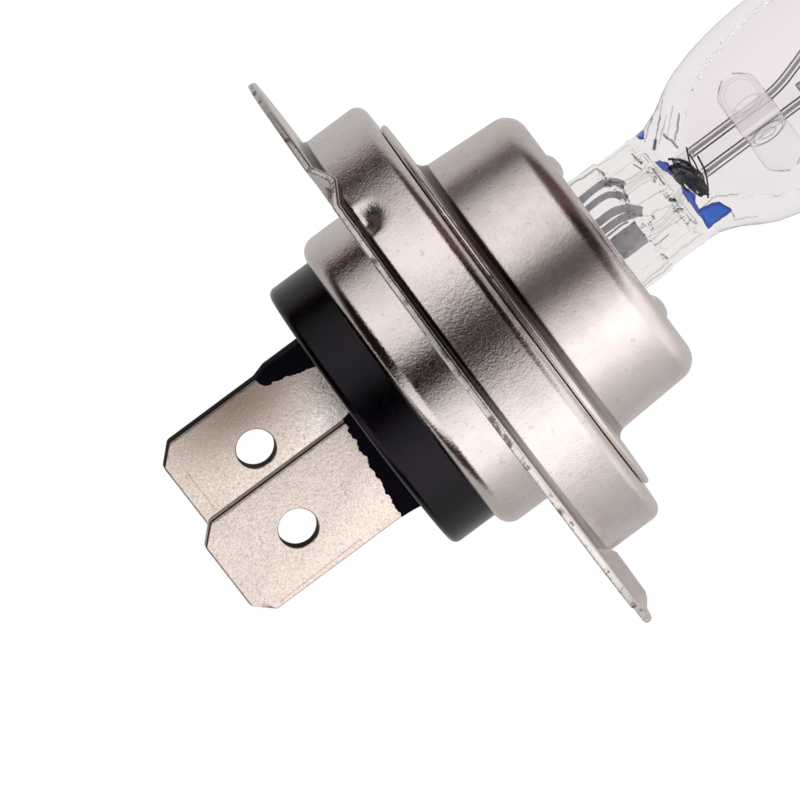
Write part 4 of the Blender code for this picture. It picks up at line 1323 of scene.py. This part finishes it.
class BULB_OT_neck_shade(bpy.types.Operator):
    """Painted shade: dark streaks and a dark veil where the leads come out of the seal"""

    bl_idname = "bulb.soot"
    bl_label = "Dark Deposit"

    def execute(self, context):
        black = self.black()
        for number, (radius, knots) in enumerate(NECK_SHADE_LINES, start=1):
            streak = wire(f"deposit_streak_{number}", smooth_path(knots, 8), radius, black, sides=10)
            finished(streak, black, "tungsten")
        finished(self.cloud(), self.veil(), "tungsten")
        return {"FINISHED"}

    def black(self):
        # Near-black painted shade with greyer patches
        surface = Surface("Dark deposit", Specular_IOR_Level=0.3)
        patches = surface.cloud(0.55)
        tint = surface.mixed(surface.stepped(patches, 0.45, 0.7), (0.006, 0.006, 0.008), (0.10, 0.10, 0.12))
        surface.feed(Base_Color=tint, Roughness=surface.stepped(patches, 0.3, 0.7, 0.3, 0.6))
        return surface.material

    def veil(self):
        """Thin painted shade in patches, with grey streaks in its upper half."""
        surface = Surface("Deposit veil", Specular_IOR_Level=0.2, Roughness=0.6)
        patches = surface.cloud(0.7, 4.0, 0.65)
        tint = surface.mixed(patches, (0.004, 0.004, 0.006), (0.03, 0.03, 0.045))
        streaks = surface.stepped(surface.cloud(0.3), 0.40, 0.55)
        upper = surface.stepped(surface.split(surface.place)["X"], 0.4 * MM, -0.6 * MM)
        tint = surface.mixed(surface.times(streaks, upper), tint, (0.34, 0.33, 0.34))
        surface.feed(Base_Color=tint, Alpha=surface.stepped(patches, 0.34, 0.46, 0.0, 1.0))
        return surface.material

    def cloud(self):
        """A small uneven lens-shaped body."""
        rings = []
        for i in range(1, 24):
            turn = pi * i / 24
            ring = []
            for a in circle_angles(48):
                x, y, z = sin(turn) * cos(a), sin(turn) * sin(a), cos(turn)
                bulge = 1.0 + 0.35 * unevenness(x, y, z, 0.6, 11.0)
                along, wide = 1.2 * x * bulge, 0.5 * z * bulge
                ring.append((0.12 + along - 0.2 * wide, -0.75 + 0.35 * y, 15.88 + wide + 0.12 * along))
            rings.append(ring)
        return skinned("deposit_cloud", rings, sharp=80)


FOIL_FOLDS = (  # folds of the long foil: half-width, then (x, z) knots
    (0.23, ((-2.2, 9.2), (-2.4, 10.4), (-2.46, 11.4), (-2.36, 12.0), (-2.0, 12.45), (-1.6, 12.68))),
    (0.18, ((-1.75, 9.2), (-1.8, 10.4), (-1.82, 11.2), (-1.68, 11.8), (-1.3, 12.2), (-0.95, 12.4))),
    (0.22, ((-0.85, 9.2), (-0.85, 10.4), (-0.84, 11.3), (-0.6, 12.0), (-0.2, 12.45), (0.05, 12.66))),
    (0.20, ((-0.3, 9.2), (-0.32, 10.4), (-0.3, 11.4), (-0.1, 12.1), (0.15, 12.6))),
    (0.06, ((0.02, 9.2), (0.03, 10.4), (0.0, 11.2), (0.06, 11.7))),
)


class BULB_OT_foils(bpy.types.Operator):
    """Seal foils: a plain strip, and the long one crumpled into folds"""

    bl_idname = "bulb.foils"
    bl_label = "Seal Foils"

    def execute(self, context):
        grey = self.foil_material()
        strips = [self.strip("foil_short", 0.13, [(0.92, 9.2), (0.92, 12.02)], 0.68, 1.0)]
        for number, (half, knots) in enumerate(FOIL_FOLDS, start=1):
            path = [(point.x, point.y) for point in smooth_path(knots, 12)]
            strips.append(self.strip(f"foil_long_fold_{number}", -0.05 * number, path, half, 0.4))
        for strip in strips:
            node = "seal_foil_short" if "short" in strip.name else "seal_foil_long"
            finished(strip, grey, "foil", node)
        return {"FINISHED"}

    def foil_material(self):
        """Dull foil with a brushed grain, and painted shade in cloudy patches that stand for its creases."""
        tones, surface = settings("bulb_finishes"), Surface("Seal foil", Metallic=0.25)
        parts, crease_shade = surface.grain(0.16, 0.6), surface.stepped(surface.cloud(0.5), 0.5, 0.66)
        # Painted shade in cloudy patches
        tint = surface.mixed(surface.times(crease_shade, 0.45), tones.foil_seen, tones.foil)
        surface.feed(Base_Color=tint, Roughness=surface.by_grain(parts, 0.4, 0.6))
        return surface.material

    def strip(self, name, depth, path, half, arch):
        """A thin strip along a path, arched across its width, with slightly uneven sides."""
        path = [Vector(point) for point in path]
        if len(path) == 2:
            path = [path[0].lerp(path[1], i / 40) for i in range(41)]
        rings = []
        for i, point in enumerate(path):
            along = (path[min(i + 1, len(path) - 1)] - path[max(i - 1, 0)]).normalized()
            sideways = Vector((along.y, -along.x))
            wide = half * (1.0 + 0.10 * unevenness(point.x, depth, point.y, 0.35, 4.0))
            ring = []
            for side in (-1, 1):
                for j in range(17):
                    across = side * (1 - j / 8)
                    spot = point + sideways * wide * across
                    lift = depth - arch * half * (1 - across**2) * 0.5
                    ring.append((spot.x, lift + side * 0.012, spot.y))
            rings.append(ring)
        return skinned(name, rings)


class BULB_OT_bridge(bpy.types.Operator):
    """Clear quartz bar across the inner leads, with bubbles where it closed on them"""

    bl_idname = "bulb.bridge"
    bl_label = "Quartz Bridge"

    RINGS = (  # outlines of the voids closed round the leads: middle X, half-extent in (x, z), darkness
        (0.70, (0.41, 0.97), 0.45), (0.72, (0.17, 0.45), 0.2), (-1.1, (0.42, 0.85), 0.12),
        (-1.75, (0.92, 0.95), 0.14),
    )
    MIDDLE = 20.6
    LINE = (0.01, 0.009, 0.009)

    def execute(self, context):
        low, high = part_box("quartz_bridge")
        low, high = Vector(low) / MM, Vector(high) / MM
        middle, reach = (low + high) / 2, (high - low) / 2
        rings, steps = [], 40
        for i in range(steps + 1):
            x = low.x + 2 * reach.x * i / steps
            end = min(x - low.x, high.x - x)
            size = min(1.0, 0.3 + 0.7 * sin(min(1.0, end / 1.0) * pi / 2))
            size *= 1.0 + 0.05 * unevenness(x, 0.0, 0.0, 1.3, 6.0)
            outline = [(reach.y * size * sin(a), reach.z * size * cos(a)) for a in circle_angles(64)]
            rings.append([(x, y, middle.z + z) for y, z in outline])
        bridge = skinned("bridge_bar", rings, sharp=60)
        finished(bridge, self.clear(), "quartz", "quartz_bridge")
        return {"FINISHED"}

    def clear(self):
        """Clear quartz with a milky band between the leads and dark outlines round them."""
        quartz = settings("bulb_finishes").quartz
        surface = Surface("Bridge quartz", Transmission_Weight=1.0, Roughness=0.0, IOR=1.16)
        cloud = surface.noise(surface.place, 700.0)
        tint = surface.mixed(cloud, quartz, tuple(value * 0.96 for value in quartz))
        across = surface.split(surface.place)["X"]
        milky = surface.stepped(across, -0.76 * MM, -0.66 * MM)
        milky = surface.times(milky, surface.stepped(across, -0.08 * MM, -0.18 * MM))
        tint = surface.mixed(surface.times(milky, 0.6), tint, (0.76, 0.72, 0.735))
        for x, (wide, tall), strength in self.RINGS:
            centre = (x, 0.0, self.MIDDLE)
            masks = [surface.patch(centre, (wide + more, 9.0, tall + more), 0.12) for more in (0.06, -0.02)]
            ring = surface.times(surface.maths("SUBTRACT", *masks), darkness(strength))
            tint = surface.mixed(ring, tint, self.LINE)
        line = surface.times(surface.line((0.25, 19.7), (0.27, 21.55), 0.08), 0.75)
        surface.feed(Base_Color=surface.mixed(line, tint, self.LINE))
        return surface.material


class BULB_OT_filament(bpy.types.Operator):
    """Filament coil with its two legs and the crimps that hold them"""

    bl_idname = "bulb.filament"
    bl_label = "Filament"

    def execute(self, context):
        tones, glass = settings("bulb_finishes"), settings("bulb_glass")
        metal = plated_metal("Tungsten", tones.tungsten, tones.foil, 0.06, 0.002, (0.3, 0.5))
        start, end = 25.0, 29.1
        guide = curve_mesh("coil", [(0, 0, start), (0, 0, end)])
        values = {
            "Turns": float(glass.coil_turns), "Coil Radius": glass.coil_radius * MM,
            "Height": (end - start) * MM, "Start": (0.0, 0.0, start * MM),
            "Wire Radius": glass.coil_wire * MM, "Sides": 12, "Material": metal,
        }
        finished(through_tree(guide, coil_tree, "Coil", values), metal, "tungsten", "filament")
        radius = glass.coil_radius
        legs = {
            "coil_leg_lower": [(-0.24, 0, 23.35), (-0.24, 0, 24.5), (0.3, 0.0, 24.85), (radius, 0.0, start)],
            "coil_leg_upper": [(radius, 0, end), (0.3, 0, end + 0.4), (0, 0, end + 0.8), (0, 0, 32.2)],
        }
        for name, knots in legs.items():
            leg = wire(name, smooth_path(knots, 6), glass.coil_wire, metal, sides=12)
            finished(leg, metal, "tungsten", "filament")
        steel = plated_metal("Crimp", tones.wire, tones.foil, 0.08, 0.004, (0.25, 0.4))
        for place in ("lower", "upper"):
            node = f"filament_crimp_{place}"
            low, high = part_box(node)
            crimp = self.crimp(f"crimp_{place}", Vector(low) / MM, Vector(high) / MM, steel)
            finished(crimp, steel, "lead_wire", node)
        return {"FINISHED"}

    def crimp(self, name, low, high, material):
        """A small tube with rounded rims, squeezed at its middle."""
        outer, middle, rim, squeeze, wall = (high.x - low.x) / 2, (low.x + high.x) / 2, 0.05, 0.04, 0.12
        profile = [(outer - rim, low.z), (outer, low.z + rim), (outer - squeeze, (low.z + high.z) / 2)]
        profile += [(outer, high.z - rim), (outer - rim, high.z)]
        profile += [(outer - wall, high.z - 0.03), (outer - wall, low.z + 0.03)]
        tube = turned(name, profile, material, steps=48)
        tube.data.transform(Matrix.Translation((middle * MM, 0.0, 0.0)))
        return tube


class BULB_OT_tip_coat(bpy.types.Operator):
    """Opaque coat over the end of the glass"""

    bl_idname = "bulb.tip_coat"
    bl_label = "Tip Coat"

    def execute(self, context):
        start = node_span("tip_coating")[0]
        line = [point for point in smooth_path(BULB_LINE, 8) if point.y > start]
        rings = []
        inner, outer = 0.03, 0.15
        for reach in (inner, outer):
            layer = []
            for i, point in enumerate(line):
                along = (line[min(i + 1, len(line) - 1)] - line[max(i - 1, 0)]).normalized()
                layer.append(point + Vector((along.y, -along.x)) * reach)
            rings.append(layer)
        top = line[-1].y
        profile = [(0.01, top + inner), *reversed(rings[0]), *rings[1], (0.01, top + outer)]
        coat = self.coat()
        skin = turned("tip_skin", [(p[0], p[1]) for p in profile], coat, steps=160)
        finished(skin, coat, "tip_coat", "tip_coating")
        return {"FINISHED"}

    def coat(self):
        """Dull, slightly rough coat with paler clouds."""
        deep, surface = settings("bulb_finishes").coat, Surface("Tip coat", Metallic=0.0)
        parts = surface.grain(0.12, 0.3)
        tint = surface.mixed(parts["Cloud"], deep, tuple(value * 3 for value in deep))
        surface.feed(Base_Color=tint, Roughness=surface.by_grain(parts, 0.45, 0.65))
        surface.relief(parts["Height"], 0.01)
        return surface.material


# ---------------------------------------------------------------- stage


# Brightness of the light tent round the lamp, by direction in degrees from the near side towards +X
TENT_RING = (
    (-180, 0.58), (-146, 0.56), (-116, 0.45), (-107, 0.16), (-103, 0.0), (-94, 0.0), (-88, 0.26), (-80, 0.50),
    (-62, 0.90), (-43, 1.10), (-25, 0.86), (-15, 0.45), (-8, 0.05), (-4, 0.0), (6, 0.0), (11, 0.06),
    (24, 0.64), (38, 1.05), (55, 1.32), (72, 1.28), (84, 0.92), (93, 0.74), (106, 0.56), (132, 0.48),
    (180, 0.56),
)
TENT_ABOVE = (
    (-180, 0.52), (-130, 0.50), (-110, 0.36), (-97, 0.06), (-70, 0.10), (-50, 0.14), (-28, 0.01), (10, 0.01),
    (25, 0.16), (40, 0.55), (57, 1.05), (100, 0.95), (140, 0.62), (180, 0.52),
)
TENT_BELOW = (
    (-180, 0.46), (-125, 0.42), (-108, 0.10), (-90, 0.01), (-14, 0.01), (2, 0.70), (30, 1.10), (48, 0.95),
    (58, 0.06), (96, 0.05), (112, 0.50), (180, 0.46),
)


class BULB_OT_stage(bpy.types.Operator):
    """Pale floor, light tent and camera"""

    bl_idname = "bulb.stage"
    bl_label = "Stage"

    def execute(self, context):
        stage = settings("bulb_stage")
        self.tent(context.scene)
        self.floor(stage)
        self.camera(context.scene, stage)
        context.scene.view_settings.view_transform = "Standard"
        return {"FINISHED"}

    def tent(self, scene):
        """A white room with light panels and dark gaps, as reflections and refractions see it."""
        world = bpy.data.worlds.new("Light tent")
        scene.world = world
        world.use_nodes = True
        shader = Shader(world.node_tree)
        background = world.node_tree.nodes["Background"]
        parts = shader.split(shader.node("ShaderNodeTexCoord")["Generated"])
        across = shader.maths("ARCTAN2", parts["X"], shader.times(parts["Y"], -1.0))
        turn = shader.node("ShaderNodeMapRange", {"Value": across, "From Min": -pi, "From Max": pi})["Result"]
        rise = shader.maths("ARCSINE", parts["Z"])
        level = self.ramp(shader, turn, TENT_RING)
        lifted = shader.times(shader.stepped(rise, radians(0.5), radians(2.5)), 0.11)
        level = shader.vector("MAXIMUM", level, shader.scaled((1.0, 0.92, 0.91), lifted))
        above = shader.stepped(rise, radians(9), radians(24))
        level = shader.mixed(above, level, self.ramp(shader, turn, TENT_ABOVE))
        below = shader.stepped(rise, radians(-12), radians(-26))
        level = shader.mixed(below, level, self.ramp(shader, turn, TENT_BELOW))
        zenith = shader.stepped(rise, radians(66), radians(84))
        level = shader.mixed(zenith, level, (0.34, 0.32, 0.31))
        path = shader.node("ShaderNodeLightPath")
        through = shader.stepped(shader.maths("ABSOLUTE", across), radians(60), radians(125), 0.72, 1.0)
        through = shader.times(through, path["Is Transmission Ray"])
        level = shader.mixed(through, level, (0.87, 0.84, 0.845))
        level = shader.mixed(path["Is Camera Ray"], level, (1.0, 1.0, 1.0))
        world.node_tree.links.new(level, background.inputs["Color"])

    def ramp(self, shader, turn, stops):
        """Brightness by direction; the dark gaps are a little warm."""
        node = shader.tree.nodes.new("ShaderNodeValToRGB")
        shader.tree.links.new(turn, node.inputs["Fac"])
        ramp = node.color_ramp
        ramp.interpolation = "LINEAR"
        while len(ramp.elements) < len(stops):
            ramp.elements.new(0.5)
        for element, (degrees, level) in zip(ramp.elements, stops):
            element.position = (degrees + 180) / 360
            warm = (level, level * 0.985, level * 0.98) if level > 0.2 else (level, level * 0.6, level * 0.6)
            element.color = (*warm, 1.0)
        return node.outputs["Color"]

    def floor(self, stage):
        """A round white floor under the blade tips that is seen only from above."""
        level = CAD_BOX[0].z / MM - stage.floor_drop
        circle = [(x, y, level) for x, y in arc((0.0, 0.0), 600.0, 0, 360, 96)[:-1]]
        mesh = bpy.data.meshes.new("floor")
        mesh.from_pydata([Vector(point) * MM for point in circle], [], [list(range(len(circle)))])
        floor = linked("floor", mesh)
        material = bpy.data.materials.new("Pale floor")
        material.use_nodes = True
        tree = material.node_tree
        tree.nodes.remove(tree.nodes["Principled BSDF"])
        shader = Shader(tree)
        white = shader.node("ShaderNodeEmission", {"Color": (1.0, 1.0, 1.0, 1.0)})["Emission"]
        clear = shader.node("ShaderNodeBsdfTransparent")["BSDF"]
        back = shader.node("ShaderNodeNewGeometry")["Backfacing"]
        both = shader.node("ShaderNodeMixShader", {0: back, 1: white, 2: clear})["Shader"]
        tree.links.new(both, tree.nodes["Material Output"].inputs["Surface"])
        mesh.materials.append(material)
        floor.visible_glossy = False
        floor.visible_diffuse = False
        floor.visible_transmission = False

    def camera(self, scene, stage):
        """Looks across the lamp axis, rolled so that the glass points up to the right."""
        data = bpy.data.cameras.new("Camera")
        data.lens = data.sensor_width * stage.distance / stage.view_width
        data.clip_start, data.clip_end = 0.01, 10.0
        camera = linked("Camera", data)
        back = Vector((0.0, -cos(stage.tilt), sin(stage.tilt)))
        upright = Vector((0.0, sin(stage.tilt), cos(stage.tilt)))
        across = upright.cross(back)
        right = upright * cos(stage.roll) + across * sin(stage.roll)
        up = back.cross(right)
        turn = Matrix((right, up, back)).transposed().to_4x4()
        aim = Vector((stage.aim_x, 0.0, stage.aim_z)) * MM
        camera.matrix_world = Matrix.Translation(aim + back * stage.distance * MM) @ turn
        scene.camera = camera


# ---------------------------------------------------------------- panel and main


OPERATORS = (
    BULB_OT_focus_ring, BULB_OT_rear_barrel, BULB_OT_front_cup, BULB_OT_seat_parts, BULB_OT_terminals,
    BULB_OT_moulding, BULB_OT_burner, BULB_OT_leads, BULB_OT_neck_shade, BULB_OT_foils, BULB_OT_bridge,
    BULB_OT_filament, BULB_OT_tip_coat, BULB_OT_stage,
)


class BULB_PT_panel(bpy.types.Panel):
    """Lists the lamp's pieces and their sizes"""

    bl_idname = "BULB_PT_panel"
    bl_label = "Headlight Bulb"
    bl_space_type = "VIEW_3D"
    bl_region_type = "UI"
    bl_category = "Bulb"

    def draw(self, context):
        for operator in OPERATORS:
            self.layout.operator(operator.bl_idname)
        for name, group in GROUPS.items():
            box = self.layout.box()
            box.label(text=group.__doc__)
            for key in group.__annotations__:
                box.prop(getattr(context.scene, name), key)


def register():
    for cls in (*GROUPS.values(), *OPERATORS, BULB_PT_panel):
        bpy.utils.register_class(cls)
    for name, group in GROUPS.items():
        setattr(bpy.types.Scene, name, PointerProperty(type=group))


def unregister():
    for name in GROUPS:
        delattr(bpy.types.Scene, name)
    for cls in reversed((*GROUPS.values(), *OPERATORS, BULB_PT_panel)):
        bpy.utils.unregister_class(cls)


def main():
    register()
    for operator in OPERATORS:
        group, name = operator.bl_idname.split(".")
        getattr(getattr(bpy.ops, group), name)()


if __name__ == "__main__":
    main()
